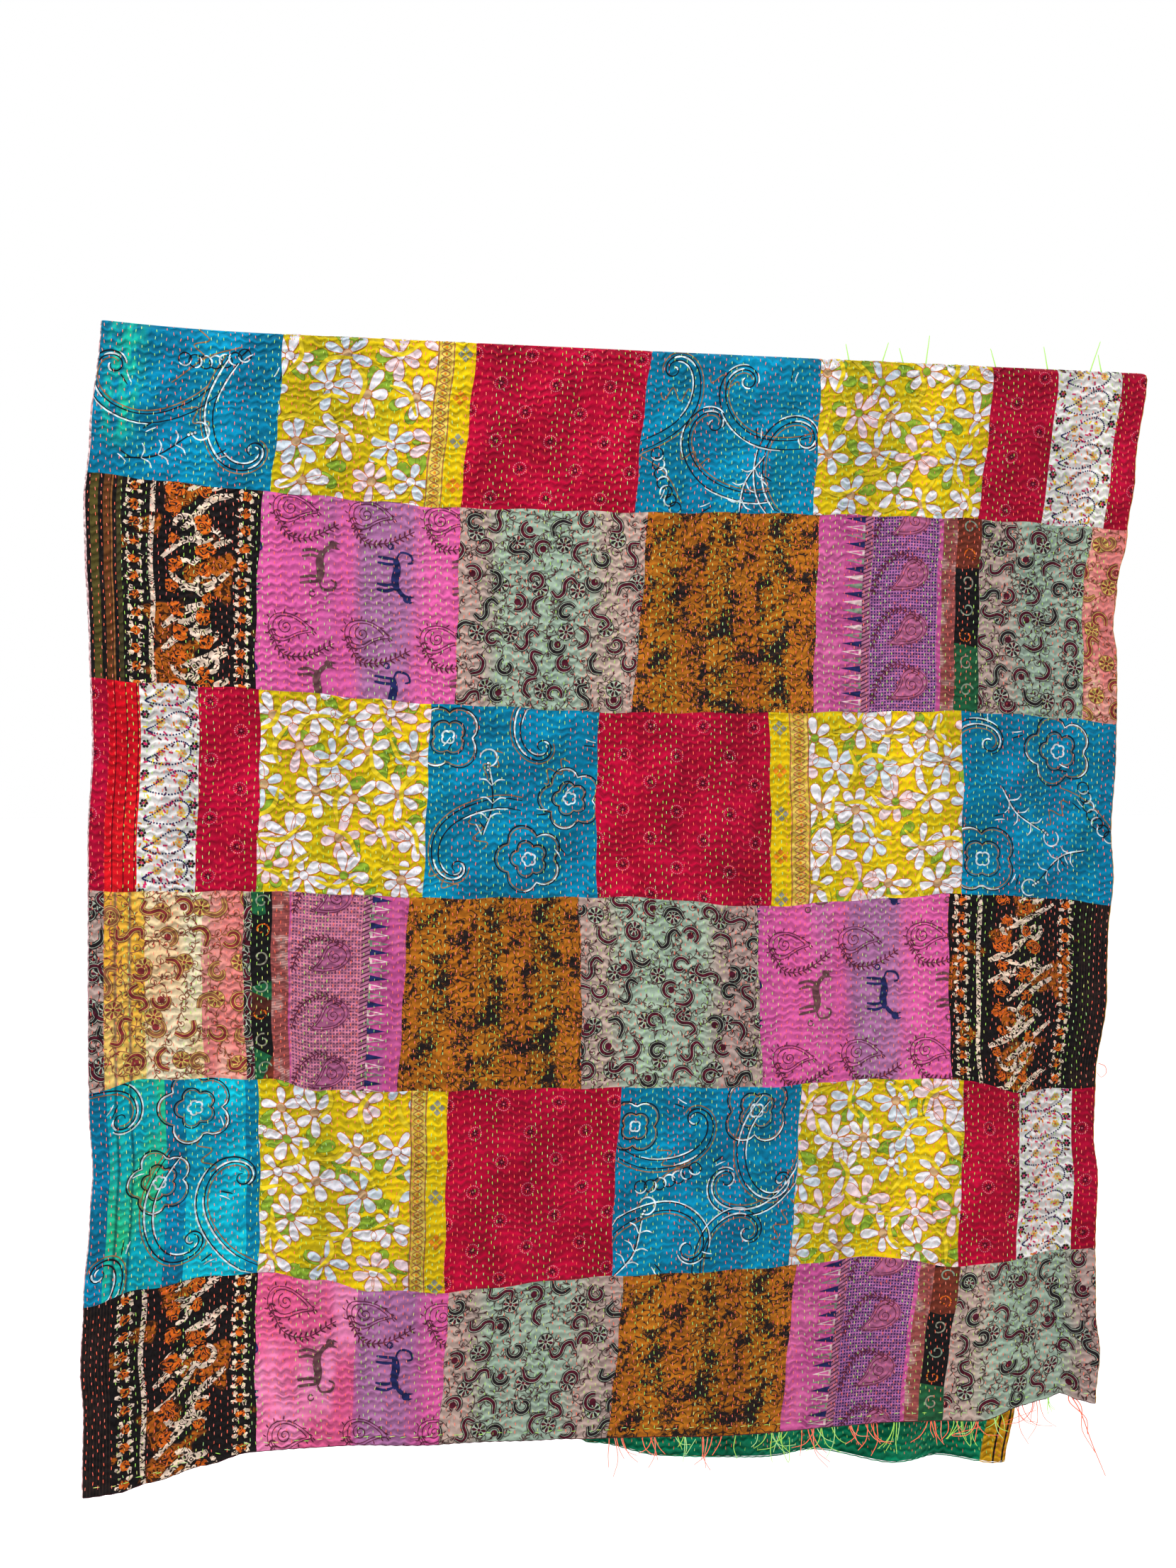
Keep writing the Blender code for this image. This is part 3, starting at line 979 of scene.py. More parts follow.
def draw_daisies(page):
    """Thin-lined daisies with broad rounded petals, leaves behind them and yellow sweeps across."""
    draw = page.draw
    for place in page.spots(0.02, 0.068, 0.25):
        first = draw.uniform(0, 2 * math.pi)
        for k in range(2):
            way = turned(first + 0.9 * k)
            page.outlined(egg(place + way * 0.012, way, 0.028, 0.022), "leaf", "leaf_dark", 0.0008, 1)
    for place in page.spots(0.028, 0.060, 0.20):
        start, petals, size = draw.uniform(0, 6), draw.choice((5, 6, 6, 7)), draw.uniform(0.029, 0.036)
        fill = draw.choice(("petal", "petal", "petal_cool", "petal_rose"))
        for petal in range(petals):
            way = turned(start + 2 * math.pi * petal / petals + draw.uniform(-0.25, 0.25))
            length, width = size * draw.uniform(0.72, 1.08), size * draw.uniform(0.50, 0.68)
            outline = egg(place + way * 0.003, way, length, width)
            page.outlined(outline, fill, "line_orange", 0.0009, 3 + 0.5 * petal)
        centre = draw.choice(("leaf", "petal_tan", "petal_tan", "petal"))
        page.outlined(circle(place, 0.0066, 10), centre, "line_orange", 0.0010, 9)
    for place in page.spots(0.0, 0.060, 0.35):
        heading = any_way(draw)
        sweep = smooth(*(place + heading * reach for reach in (-0.030, 0.009j, 0.026 - 0.005j)))
        page.stroke(sweep, 0.0066, "swoosh", 11, 0.15)


def draw_braid(page):
    """Chain braid with orange dots between two thin lines."""
    middle, reach = page.start + page.width / 2, page.width * 0.30
    down = np.linspace(0, page.height, max(8, int(page.height / 0.0025)))
    for phase in (0, math.pi):
        sway = np.sin(down / 0.018 * 2 * math.pi + phase) * reach
        page.ribbon(middle + sway + 1j * down, 0.0011, "line_brown", 2)
    for edge in (page.start + 0.0012, page.end - 0.0012):
        page.ribbon(edge + 1j * down, 0.0013, "line_brown", 3)
    for k in range(int(page.height / 0.009) + 1):
        page.blob(circle(middle + 1j * (k * 0.009 + 0.0045), 0.0019, 6), "orange", 4)


def draw_yellow(page):
    """Plain band with clusters of four small diamonds, orange and grey in turn."""
    for k in range(int(page.height / 0.060) + 1):
        place = page.start + page.width * 0.5 + 1j * (0.022 + k * 0.060)
        for way in (1, 1j, -1, -1j):
            page.blob(place + way * 0.0062 + circle(0, 0.0046, 4), "orange" if k % 2 else "grey", 2)


def draw_dotted_paisleys(page):
    """Long dotted teardrops one below another, among bright dashes and small flowers."""
    draw = page.draw
    pitch, middle = 0.040, page.start + page.width / 2
    slim = paisley(0, min(0.054, page.width * 0.62), 1, 46)
    slim = (slim.real + 0.72j * slim.imag) * turned(math.pi - 0.5)

    def flower(place, reach, petal, ink, centre):
        for way in np.exp(1j * round_turn(6)):
            page.blob(circle(place + way * reach, petal, 5), ink, 2)
        page.blob(circle(place, petal, 5), centre, 3)

    for k in range(-1, int(page.height / pitch) + 2):
        place = middle + 1j * (0.018 + k * pitch)
        for point in place + slim:
            page.blob(circle(point, 0.0014, 5), "navy", 3)
        for _ in range(34):
            spot = place + complex(draw.uniform(-0.5, 0.5) * page.width, draw.uniform(-0.5, 0.5) * pitch)
            page.ribbon([spot, spot + turned(draw.uniform(-0.2, 2.2)) * 0.0056], 0.0023,
                        draw.choice(("magenta", "magenta", "plum", "orange", "swoosh")), 2)
        for hand in (-0.16, 0.22):
            flower(place + hand * page.width - 0.12j * pitch, 0.0040, 0.0021, "straw", "orange")
        for hand in (-1, 1):
            side = middle + hand * page.width * 0.42
            flower(side + 1j * (0.002 + k * pitch), 0.0040, 0.0022, "ink_dark", "magenta")


def draw_batik(page):
    """Crackled cream branches and rust lumps between two columns of knots."""
    draw = page.draw

    def lump(place, radius, ink, level):
        uneven = np.array([draw.uniform(0.72, 1.2) for _ in range(11)])
        page.blob(place + radius * uneven * np.exp(1j * round_turn(11)), ink, level)

    def branch(path, width, ink, level):
        page.stroke(path, width, ink, level, 0.4)

    for share in (0.09, 0.89):
        for k in range(int(page.height / 0.024) + 1):
            place = page.start + share * page.width + 1j * (0.010 + k * 0.024)
            for heading in (0.6, 2.5, 3.8, 5.6):
                way = turned(heading + draw.uniform(-0.3, 0.3))
                branch(place + way * np.array([0.003, 0.008, 0.013 * turned(0.35)]), 0.0070, "cream", 2)
            lump(place, 0.0068, "rust", 3)
    down = np.linspace(0, page.height, 26)
    page.ribbon(page.start + 0.215 * page.width + 0.0015 * np.sin(down * 50) + 1j * down, 0.0066, "cream", 2)
    low, high = page.start + 0.29 * page.width, page.start + 0.79 * page.width
    reach = high - low
    for k in range(-1, int(page.height / 0.033) + 4):
        root = low + 1j * (k * 0.033 + draw.uniform(-0.004, 0.004))
        rise = draw.uniform(0.5, 0.85)
        bend = draw.uniform(-0.010, 0.010)
        knots = [root + reach * share * (1 - 1j * rise) + 1j * off
                 for share, off in ((0, 0), (0.33, bend), (0.68, -bend), (1, 0))]
        gap = draw.choice((0, 5, 8))
        branch(smooth(*knots)[gap:19 - (5 if gap == 0 else 0)], draw.uniform(0.0085, 0.0120), "cream", 2)
        branch(spiral(knots[1 + k % 2], 0.017, 0.62, draw.uniform(0, 6), 12, 0.8), 0.0085, "cream", 3)
        for share in (0.2, 0.62):
            spot = root + reach * (share - 1j * rise * share) + 0.019j + draw.uniform(-0.008, 0.008)
            lump(spot, draw.uniform(0.008, 0.014), "rust", 4)


def draw_cat(page, place, size, up, along, ink):
    """Slim plain cat of simple strokes on its feet, tail up, with a small ring behind it."""
    def at(a, b):
        return place + size * (along * a + up * b)

    def line(width, *knots):
        page.stroke(smooth(*(at(*knot) for knot in knots), steps=5), width * size * 0.8, ink, 4, 0.5)

    line(0.21, (-0.32, 0.02), (-0.10, 0.06), (0.14, 0.02), (0.34, 0.07))
    line(0.12, (0.26, 0.06), (0.38, 0.14), (0.45, 0.24))
    for foot in (-0.34, -0.22, 0.22, 0.34):
        line(0.075, (foot * 0.9, 0.02), (foot + 0.03, -0.16), (foot, -0.36))
    line(0.06, (-0.32, 0.04), (-0.46, 0.12), (-0.44, 0.32), (-0.30, 0.38), (-0.25, 0.28))
    page.blob(circle(at(0.49, 0.27), size * 0.085, 9), ink, 5)
    for side in (-0.05, 0.06):
        page.blob([at(0.46 + side, 0.32), at(0.47 + side, 0.43), at(0.52 + side, 0.32)], ink, 5)
    page.ribbon(np.append(circle(at(-0.56, -0.10), size * 0.06, 10), at(-0.50, -0.10)), size * 0.025, ink, 4)


def feathered(page, place, size, heading, ink):
    """Line-drawn paisley with a curl inside and a long fern behind it."""
    for scale in (1.0, 0.78):
        outline = paisley(place, size * scale, heading, 22)
        page.ribbon(np.append(outline, outline[:2]), 0.0011, ink, 3)
    page.ribbon(spiral(place - heading * size * 0.12, size * 0.22, 1.6, 0.5, 20), 0.0012, ink, 3)
    root = place - heading * size * 0.55
    fern = smooth(root, root + heading * size * (0.2 + 0.75j), root + heading * size * (0.9 + 0.95j),
                  root + heading * size * (1.7 + 0.72j), steps=5)
    page.ribbon(fern, 0.0012, ink, 3)
    leaf = size * 0.17
    for k, (point, after) in enumerate(zip(fern, fern[1:])):
        for hand in (-1, 1):
            way = (after - point) / abs(after - point) * turned(hand * 0.9)
            page.blob(spear(point, way, leaf, leaf * 0.42, 6), ink, 3)
    for point in paisley(place, size * 1.04, heading, 15):
        way = (point - place) / abs(point - place) * turned(0.6)
        page.blob(spear(point, way, leaf * 0.7, leaf * 0.3, 6), ink, 3)


def draw_pink(page):
    """Rows of feathered paisleys, with rows of small plain cats between them, lying on their side."""
    draw = page.draw
    first = draw.uniform(-0.02, 0.03)
    for k in range(-1, int(page.height / 0.082) + 2):
        for column in range(-1, int(page.width / 0.105) + 2):
            place = page.start + 0.045 + (column + 0.35 * (k % 2)) * 0.105 + 1j * (first + 0.030 + k * 0.082)
            if k % 2:
                along, ink = (1j, "navy") if column % 2 else (-1j, "cat_brown")
                draw_cat(page, place, 0.066, 1, along, ink)
            else:
                feathered(page, place, 0.048, turned(-0.25), "plum")


def draw_sage(page, dark="ink_dark", pale="sage_pale", fill="maroon", thin="sepia"):
    """Wheel flowers on thin scrolls, with bold dark-edged commas, crescents and S-scrolls."""
    draw = page.draw
    for place in page.spots(0.01, 0.0245, 0.3):
        heading = any_way(draw)
        page.ribbon(spiral(place, draw.uniform(0.005, 0.008), 1.3, draw.uniform(0, 6), 11), 0.0010, thin, 1)
        sweep = smooth(place - heading * 0.014, place + 0.005j * heading, place + heading * 0.015, steps=4)
        page.ribbon(sweep, 0.0010, thin, 1)
        for k, point in enumerate(sweep[1::2]):
            page.blob(spear(point, heading * turned(0.9 - 1.8 * (k % 2)), 0.0066, 0.0026, 6),
                      fill if k % 2 else thin, 1)
    for place in page.spots(0.01, 0.072, 0.2):
        page.blob(circle(place, 0.0120, 14), pale, 2)
        page.ribbon(np.append(circle(place, 0.0117, 16), place + 0.0117), 0.0011, dark, 3)
        for spoke in range(8):
            way = turned(spoke * math.pi / 4 + 0.2)
            page.blob(egg(place + way * 0.0026, way, 0.0084, 0.0058, 7), dark if spoke % 2 else fill, 3)
        page.blob(circle(place, 0.0024, 6), fill, 4)
    for number, place in enumerate(page.spots(0.01, 0.046, 0.24)):
        heading, kind = any_way(draw) * 0.86, number % 4
        if kind == 0:
            path = spiral(place, 0.0128, 0.85, draw.uniform(0, 6), 16, 0.42)
        elif kind == 1:
            path = smooth(*(place + heading * v for v in (-0.021 - 0.003j, -0.016 + 0.010j, -0.004 + 0.007j,
                                                  0.004 - 0.007j, 0.016 - 0.010j, 0.021 + 0.003j)), steps=4)
        elif kind == 2:
            path = place + 0.0125 * heading * np.exp(1j * np.linspace(-1.9, 1.9, 14))
            page.blob(circle(place, 0.0050, 8), fill, 4)
        else:
            path = smooth(*(place + heading * v for v in (-0.022 + 0.008j, -0.005 + 0.011j, 0.007,
                                                          0.004 - 0.015j)), steps=5)
        page.stroke(path, 0.0088, dark, 5, 0.6)
        page.stroke(path, 0.0062, pale, 6, 0.5)
        page.stroke(path, 0.0044, fill if number % 3 else dark, 7, 0.5)


def draw_triangles(page, toward=1):
    """Long thin triangles that point to one side, in three inks in turn."""
    tip, root = (page.start, page.end) if toward > 0 else (page.end, page.start)
    for k in range(int(page.height / 0.012) + 1):
        middle = 1j * (0.006 + k * 0.012)
        ink = ("navy", "cream_pink", "grey_green")[k % 3]
        page.add([tip + middle, root + middle - 0.0046j, root + middle + 0.0046j], [(0, 1, 2)], ink, 2)
        if k % 3:
            low = root + (tip - root) * 0.12
            page.add([low + (tip - low) * 0.7 + middle, low + middle - 0.0026j, low + middle + 0.0026j],
                     [(0, 1, 2)], "pink_plain", 3)


def draw_net(page):
    """Paisleys with ferns laid over the net."""
    size = min(0.050, page.width * 0.46)
    for k in range(int(page.height / 0.080) + 2):
        place = page.start + page.width * 0.60 + 1j * (0.010 + k * 0.080)
        page.blob(paisley(place, size * 1.08, turned(2.2)), "mauve", 2)
        feathered(page, place, size, turned(2.2), "plum")


def draw_dark_strip(page):
    for k in range(int(page.height / 0.040) + 1):
        place = page.start + page.width * 0.5 + 1j * (0.014 + k * 0.040)
        page.ribbon(spiral(place, 0.011, 1.0, k, 16, 0.3), 0.0022, ("grey_green", "rust", "grey")[k % 3], 2)


DRAWINGS = {
    "blue": draw_blue, "daisy": draw_daisies, "braid": draw_braid, "yellow": draw_yellow,
    "paisley": draw_dotted_paisleys, "batik": draw_batik, "pink": draw_pink, "sage": draw_sage,
    "triangles": draw_triangles, "triangles_right": lambda page: draw_triangles(page, -1),
    "net": draw_net, "dark_strip": draw_dark_strip,
    # The sage print in paler inks over the lit sage strips: painted light
    "sage_lit": lambda page: draw_sage(page, "lit_brown", "straw", "lit_maroon", "lit_brown"),
}
# Grounds that light shines through, and the print that runs on over them
PRINT_OF = {"sage_gold": "sage_lit", "sage_cream": "sage_lit", "sage_rose": "sage_lit", "blue_lit": "blue",
            "blue_bright": "blue", "blue_glow": "blue", "pink_lit": "pink", "net_lit": "net"}


# Patches

class Patch:
    """A patch between two upright seams and two crosswise seams of one leaf."""

    def __init__(self, side, row, column, fabric):
        self.side, self.row, self.column = side, row, column
        self.name = f"{LEAF[side]}_{row + 1}_{column + 1}"
        self.strips = ((fabric, 1.0),) if isinstance(fabric, str) else fabric
        self.seed = 1000 * (side + 2) + 20 * row + column
        corners = [self.place(a, b) for a, b in ((0, 0.5), (1, 0.5), (0.5, 0), (0.5, 1))]
        self.width = abs(float(corners[1][0] - corners[0][0]))
        self.height = float(corners[3][1] - corners[2][1])

    def crosswise(self, number, x):
        """Drop of the crosswise seam of that number at X; seam 0 is the crown."""
        if number == 0:
            return np.zeros_like(x)
        if self.side == FRONT:
            if number <= len(UPRIGHTS) - 1:
                ripple = SEAM_RIPPLE * np.sin(67 * x + 1.3 * number)
                return drop_of(read_table(SEAMS, SEAM_X, number, x) + ripple)
            return drop_of(hem_height(FRONT, share_across(FRONT, x, np.full_like(x, -1.55))))
        hem = drop_of(hem_height(BACK, share_across(BACK, x, np.full_like(x, -1.58))))
        share = (number - 1) / BACK_ROWS
        wander = SEAM_WANDER * np.sin(x * 9.0 + number * 2.1) * (0 < share < 1)
        return BACK_FIRST_SEAM + (hem - BACK_FIRST_SEAM) * share + wander

    def upright(self, number, down):
        """X of the upright seam of that number, counted from the viewer's left."""
        if self.side == FRONT and 0 < number < 6:
            top, foot = UPRIGHTS[self.row]
            bulge = 0.003 * math.sin(3.1 * self.row + 1.7 * number) * np.sin(math.pi * down)
            bulge = bulge + SEAM_RIPPLE * np.sin(17 * down + 2.3 * number + self.row)
            return top[number - 1] + (foot[number - 1] - top[number - 1]) * down + bulge
        share = number / 6 if self.side == FRONT else 1 - number / 6
        wander = 0.0 if number in (0, 6) else 0.008 * math.sin(2.3 * self.row + 1.9 * number)
        x = np.zeros_like(down)
        for _ in range(3):
            drop = self.crosswise(self.row, x) * (1 - down) + self.crosswise(self.row + 1, x) * down
            height = np.minimum(height_of(drop), 0)
            x = x_at(self.side, height, share) + wander
        return x

    def place(self, right, down):
        """X and drop of a point, from its shares across and down the patch."""
        right, down = np.asarray(right, float), np.asarray(down, float)
        start, end = self.upright(self.column, down), self.upright(self.column + 1, down)
        x = start + (end - start) * right
        top, foot = self.crosswise(self.row, x), self.crosswise(self.row + 1, x)
        return x, top + (foot - top) * down

    def lay(self, p, q, lift):
        """Points, normals and UV maps of flat points of the patch."""
        x, drop = self.place(p / self.width, q / self.height)
        near = np.minimum(p, self.width - p)
        near = np.minimum(near, self.height - q)
        if self.row > 0:
            near = np.minimum(near, q)
        dip = SEAM_DIP * np.exp(-np.maximum(near, 0) / SEAM_DIP_REACH)
        points, normals = lay(self.side, x, drop, OUTER_LIFT + lift - dip)
        maps = {"cloth": cloth_coordinates(self.side, x, drop), "print": np.stack([p, q], axis=-1)}
        return points, normals, maps

    def stations(self, length, step, start, end):
        """Grid lines from start to end, closer together beside a seam."""
        inner = np.linspace(start, end, max(2, round((end - start) / step)) + 1)
        seams = [value for value in (SEAM_DIP_REACH * 0.7, length - SEAM_DIP_REACH * 0.7)
                 if start + 1e-4 < value < end - 1e-4]
        return np.unique(np.concatenate([inner, seams]))

    def strip_ranges(self):
        start = 0.0
        for fabric, share in self.strips:
            yield fabric, start, start + share * self.width
            start += share * self.width

    def cloth(self):
        """The patch itself, cut along its strips so that each has its own ground."""
        step = FRONT_STEP if self.side == FRONT else BACK_STEP
        rows = self.stations(self.height, step, 0.0, self.height)
        columns, grounds = [np.zeros(1)], []
        for fabric, start, end in self.strip_ranges():
            lines = self.stations(self.width, step, start, end)[1:]
            columns.append(lines)
            grounds += [fabric] * len(lines)
        columns = np.concatenate(columns)
        q, p = np.meshgrid(rows, columns, indexing="ij")
        points, normals, maps = self.lay(p.ravel(), q.ravel(), 0.0)
        faces = grid_faces(len(rows), len(columns))
        names = list(dict.fromkeys(grounds))
        looks = [names.index(g) for g in grounds] * (len(rows) - 1)
        item = add_mesh("patch_" + self.name, points, faces.tolist(), [LOOKS[n] for n in names], looks, maps)
        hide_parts("patchwork_top")
        max(self.height, 0.02)
        return item

    def prints(self):
        """Print shapes of all strips, laid on the surface."""
        runs = []
        for fabric, start, end in self.strip_ranges():
            fabric = PRINT_OF.get(fabric, fabric)
            if runs and runs[-1][0] == fabric:
                runs[-1][2] = end
            else:
                runs.append([fabric, start, end])
        for number, (fabric, start, end) in enumerate(runs):
            if fabric not in DRAWINGS:
                continue
            page = Print(start, end, self.height, self.seed * 10 + number)
            DRAWINGS[fabric](page)
            flat = np.concatenate(page.points)
            lift = PRINT_LIFT + PRINT_LEVEL * np.concatenate(page.levels)
            points, normals, maps = self.lay(flat.real, flat.imag, lift)
            yield fabric, points, normals, maps, page.faces, page.inks


def outward_faces(points, normals, faces):
    """The faces turned to their normals, and which of them are large enough to keep."""
    first, second, third, last = (points[[face[k] for face in faces]] for k in (0, 1, 2, -1))
    area = np.cross(third - first, last - second)
    facing = (area * normals[[face[0] for face in faces]]).sum(axis=1)
    turned_faces = [face if way > 0 else face[::-1] for face, way in zip(faces, facing)]
    return turned_faces, np.linalg.norm(area, axis=1) / 2 > SMALLEST_FACE


class PrintSheet:
    """All the printed shapes of one fabric on one leaf, joined into one piece."""

    def __init__(self):
        self.points, self.normals, self.cloth, self.flat = [], [], [], []
        self.faces, self.inks, self.count = [], [], 0

    def add(self, points, normals, maps, faces, inks):
        faces, kept = outward_faces(points, normals, faces)
        self.faces += [tuple(k + self.count for k in face) for face, keep in zip(faces, kept) if keep]
        self.inks += [ink for ink, keep in zip(inks, kept) if keep]
        self.points.append(points)
        self.normals.append(normals)
        self.cloth.append(maps["cloth"])
        self.flat.append(maps["print"])
        self.count += len(points)

    def build(self, name):
        names = sorted(set(self.inks))
        numbers = {ink: k for k, ink in enumerate(names)}
        points, normals = np.concatenate(self.points), np.concatenate(self.normals)
        used, faces = np.unique(np.concatenate([np.array(f) for f in self.faces]), return_inverse=True)
        ends = np.cumsum([len(f) for f in self.faces])
        faces = [tuple(part.tolist()) for part in np.split(faces, ends[:-1])]
        maps = {"cloth": np.concatenate(self.cloth)[used], "print": np.concatenate(self.flat)[used]}
        item = add_mesh(name, points[used], faces, [LOOKS[n] for n in names],
                        [numbers[ink] for ink in self.inks], maps, normals[used])
        return item


def make_patchwork():
    pieces, sheets = [], {}
    for side, layout in ((FRONT, FRONT_PATCHES), (BACK, BACK_PATCHES)):
        for row, fabrics in enumerate(layout):
            for column, fabric in enumerate(fabrics):
                patch = Patch(side, row, column, fabric)
                pieces.append(patch.cloth())
                for name, *shapes in patch.prints():
                    key = f"print_{name}_{LEAF[side]}"
                    sheets.setdefault(key, PrintSheet()).add(*shapes)
    prints = [sheet.build(key) for key, sheet in sheets.items()]
    return pieces, prints


# Backing and edges

def make_backing():
    """One green sheet inside both leaves, up one and down the other over the fold."""
    across = np.linspace(0, 1, round(QUILT_WIDTH / BACKING_STEP) + 1)
    leaf = np.linspace(CROWN_LENGTH, 1, round(FRONT_LENGTH / BACKING_STEP))
    crown = np.linspace(0, CROWN_LENGTH, 5)[:-1]
    points, maps = [], []
    for side in (FRONT, BACK):
        hem = drop_of(hem_height(side, across)) - 0.0015
        shares = (leaf - CROWN_LENGTH) / (1 - CROWN_LENGTH)
        drops = np.concatenate([np.tile(crown[:, None], len(across)),
                                CROWN_LENGTH + shares[:, None] * (hem - CROWN_LENGTH)[None, :]])
        height = height_of(np.maximum(drops, CROWN_LENGTH))
        x = x_at(side, height, 0.001 + 0.998 * across[None, :])
        laid, _ = lay(side, x, drops, np.full_like(x, INNER_LIFT))
        coordinates = cloth_coordinates(side, x, drops)
        if side == FRONT:
            laid, coordinates = laid[::-1], coordinates[::-1]
        else:
            laid, coordinates = laid[1:], coordinates[1:]
        points.append(laid)
        maps.append(coordinates)
    grid, flat = np.concatenate(points), np.concatenate(maps)
    rows, columns = grid.shape[:2]
    faces = grid_faces(rows, columns)
    item = add_mesh("backing_sheet", grid.reshape(-1, 3), faces.tolist(), [LOOKS["backing"]],
                    maps={"cloth": flat.reshape(-1, 2), "print": flat.reshape(-1, 2)})
    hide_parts("backing")
    return item


def make_edges():
    """Turned edge of the quilt: a soft roll round both sides and both hems."""
    profile = ((0.0, OUTER_LIFT - SEAM_DIP), (0.0010, 0.0008), (0.0014, 0.0), (0.0011, -0.0008),
               (-0.0006, INNER_LIFT))
    strips = []
    for side in (FRONT, BACK):
        across = np.linspace(0, 1, 200)
        height = hem_height(side, across)
        x, drop = x_at(side, height, across), drop_of(height)
        strips.append((f"hem_{LEAF[side]}", side, x, drop, 0, 1))
        for is_right in (False, True):
            end = float(drop_of(hem_height(side, np.array([float(is_right)])))[0])
            down = np.linspace(0, end, 210)
            edge = edge_x(side, np.minimum(height_of(down), 0), is_right)
            name = f"edge_{'right' if is_right else 'left'}_{LEAF[side]}"
            strips.append((name, side, edge, down, 1 if is_right else -1, 0))
    made = []
    for name, side, x, drop, out_x, out_drop in strips:
        rows, maps = [], []
        before = ((-BINDING, OUTER_LIFT + 0.0004),) if name == "edge_right_back" else ()
        after = ((-BINDING, INNER_LIFT - 0.0004),) if name == "edge_left_back" else ()
        for out, lift in before + profile + after:
            reach = out + 0.0004 * np.sin(drop * 300 + x * 410)
            laid, _ = lay(side, x + out_x * reach, drop + out_drop * reach, np.full_like(x, lift))
            rows.append(laid)
            maps.append(cloth_coordinates(side, x, drop))
        grid, flat = np.stack(rows), np.stack(maps)
        faces = grid_faces(*grid.shape[:2])
        if (side == FRONT) == ("left" in name or "hem" in name):
            faces = faces[:, ::-1]
        look = "edge" if "left" in name else "maroon" if name == "hem_front" else "backing"
        item = add_mesh(name, grid.reshape(-1, 3), faces.tolist(), [LOOKS[look]],
                        maps={"cloth": flat.reshape(-1, 2), "print": flat.reshape(-1, 2)})
        made.append(item)
    return made


# Stitches and threads

# One stitch, as shares of its half length, half width and height
STITCH_POINTS = np.array([(-1, 0, -0.15), (-0.5, -1, 0.0), (-0.5, 1, 0.0), (-0.5, 0, 0.9),
                          (0.5, -1, 0.0), (0.5, 1, 0.0), (0.5, 0, 0.9), (1, 0, -0.15)])
STITCH_FACES = ((0, 1, 3), (0, 3, 2), (1, 4, 6, 3), (3, 6, 5, 2), (4, 7, 6), (6, 7, 5))
PLAIN_POINTS = np.array([(-1, 0, 0.0), (0, -1, 0.0), (0, 1, 0.0), (0, 0, 0.9), (1, 0, 0.0)])
PLAIN_FACES = ((0, 1, 3), (0, 3, 2), (1, 4, 3), (3, 4, 2))


def stitch_mesh(name, side, x, drop, lift, turn, threads, seed, shape, outward=1, length=STITCH_LENGTH):
    """Many stitches on one leaf. turn is each stitch's angle from straight down."""
    points, faces = shape
    count = len(x)
    draw = np.random.default_rng(seed)
    middle, across, down, normal = surface_frame(side, x, drop)
    along = down * np.cos(turn)[:, None] + across * np.sin(turn)[:, None]
    sideways = np.cross(normal, along)
    sizes = (length / 2 * draw.uniform(0.82, 1.15, count),
             STITCH_WIDTH / 2 * draw.uniform(0.85, 1.15, count),
             STITCH_HEIGHT * draw.uniform(0.8, 1.1, count) * outward)
    middle = middle + normal * lift
    grid = middle[:, None, :].repeat(len(points), axis=1)
    for column, (axis, size) in enumerate(zip((along, sideways, normal), sizes)):
        grid = grid + (points[:, column][None, :, None] * size[:, None, None]) * axis[:, None, :]
    corners = len(points)
    everything = [tuple(k * corners + v for v in (face if outward > 0 else face[::-1]))
                  for k in range(count) for face in faces]
    shades = np.repeat(draw.choice(len(threads), count, p=(0.5, 0.3, 0.2)), len(faces))
    item = add_mesh(name, grid.reshape(-1, 3), everything, threads, shades)
    return item


def stitch_rows(side, first_drop):
    """X, drop, angle and thread group of the quilting stitches of one leaf."""
    draw = np.random.default_rng(70 + side)
    rows = int(QUILT_WIDTH / ROW_PITCH)
    length = FRONT_LENGTH if side == FRONT else BACK_LENGTH + 0.06
    xs, drops, groups = [], [], []
    for row in range(rows):
        across = (row + 0.5) / rows
        drop = np.arange(first_drop, length, STITCH_PITCH) + STITCH_PITCH * 0.5 * (row % 2)
        drop = drop + draw.normal(0, 0.0011, len(drop))
        share = across + draw.normal(0, 0.0005, len(drop)) + 0.0006 * math.sin(row * 1.7)
        height = np.minimum(height_of(drop), 0)
        inside = (drop < drop_of(hem_height(side, share)) - 0.009) & (draw.random(len(drop)) > 0.03)
        inside &= drop > 0.002
        xs.append(x_at(side, height, share)[inside])
        drops.append(drop[inside])
        groups.append(np.full(inside.sum(), (row // ROWS_A_COLOUR) % 2))
    x, drop, group = (np.concatenate(v) for v in (xs, drops, groups))
    return x, drop, draw.normal(0, 0.09, len(x)), group


def make_stitches():
    made = []
    fine, plain = (STITCH_POINTS, STITCH_FACES), (PLAIN_POINTS, PLAIN_FACES)
    plans = (("front", FRONT, 0.0, OUTER_LIFT + 0.0002, fine, 1),
             ("back", BACK, 0.0, OUTER_LIFT + 0.0002, plain, 1),
             ("inside", BACK, 1.40, INNER_LIFT - 0.0001, fine, -1))
    for place, side, first_drop, lift, shape, outward in plans:
        x, drop, turn, group = stitch_rows(side, first_drop)
        for number, (word, threads) in enumerate((("coral", CORAL_THREADS), ("green", GREEN_THREADS))):
            chosen = group == number
            made.append(stitch_mesh(f"stitches_{place}_{word}", side, x[chosen], drop[chosen], lift,
                                    turn[chosen], threads, 5 + number, shape, outward))
    draw = np.random.default_rng(12)
    share = np.linspace(0.012, 0.988, HEM_STITCHES) + draw.normal(0, 0.003, HEM_STITCHES)
    height = hem_height(FRONT, share) + 0.0115 + draw.normal(0, 0.0008, HEM_STITCHES)
    made.append(stitch_mesh("stitches_hem", FRONT, x_at(FRONT, height, share), drop_of(height),
                            OUTER_LIFT + 0.0005, math.pi / 2 + draw.normal(0, 0.12, HEM_STITCHES),
                            GREEN_THREADS, 9, fine, 1, 0.0085))
    return made


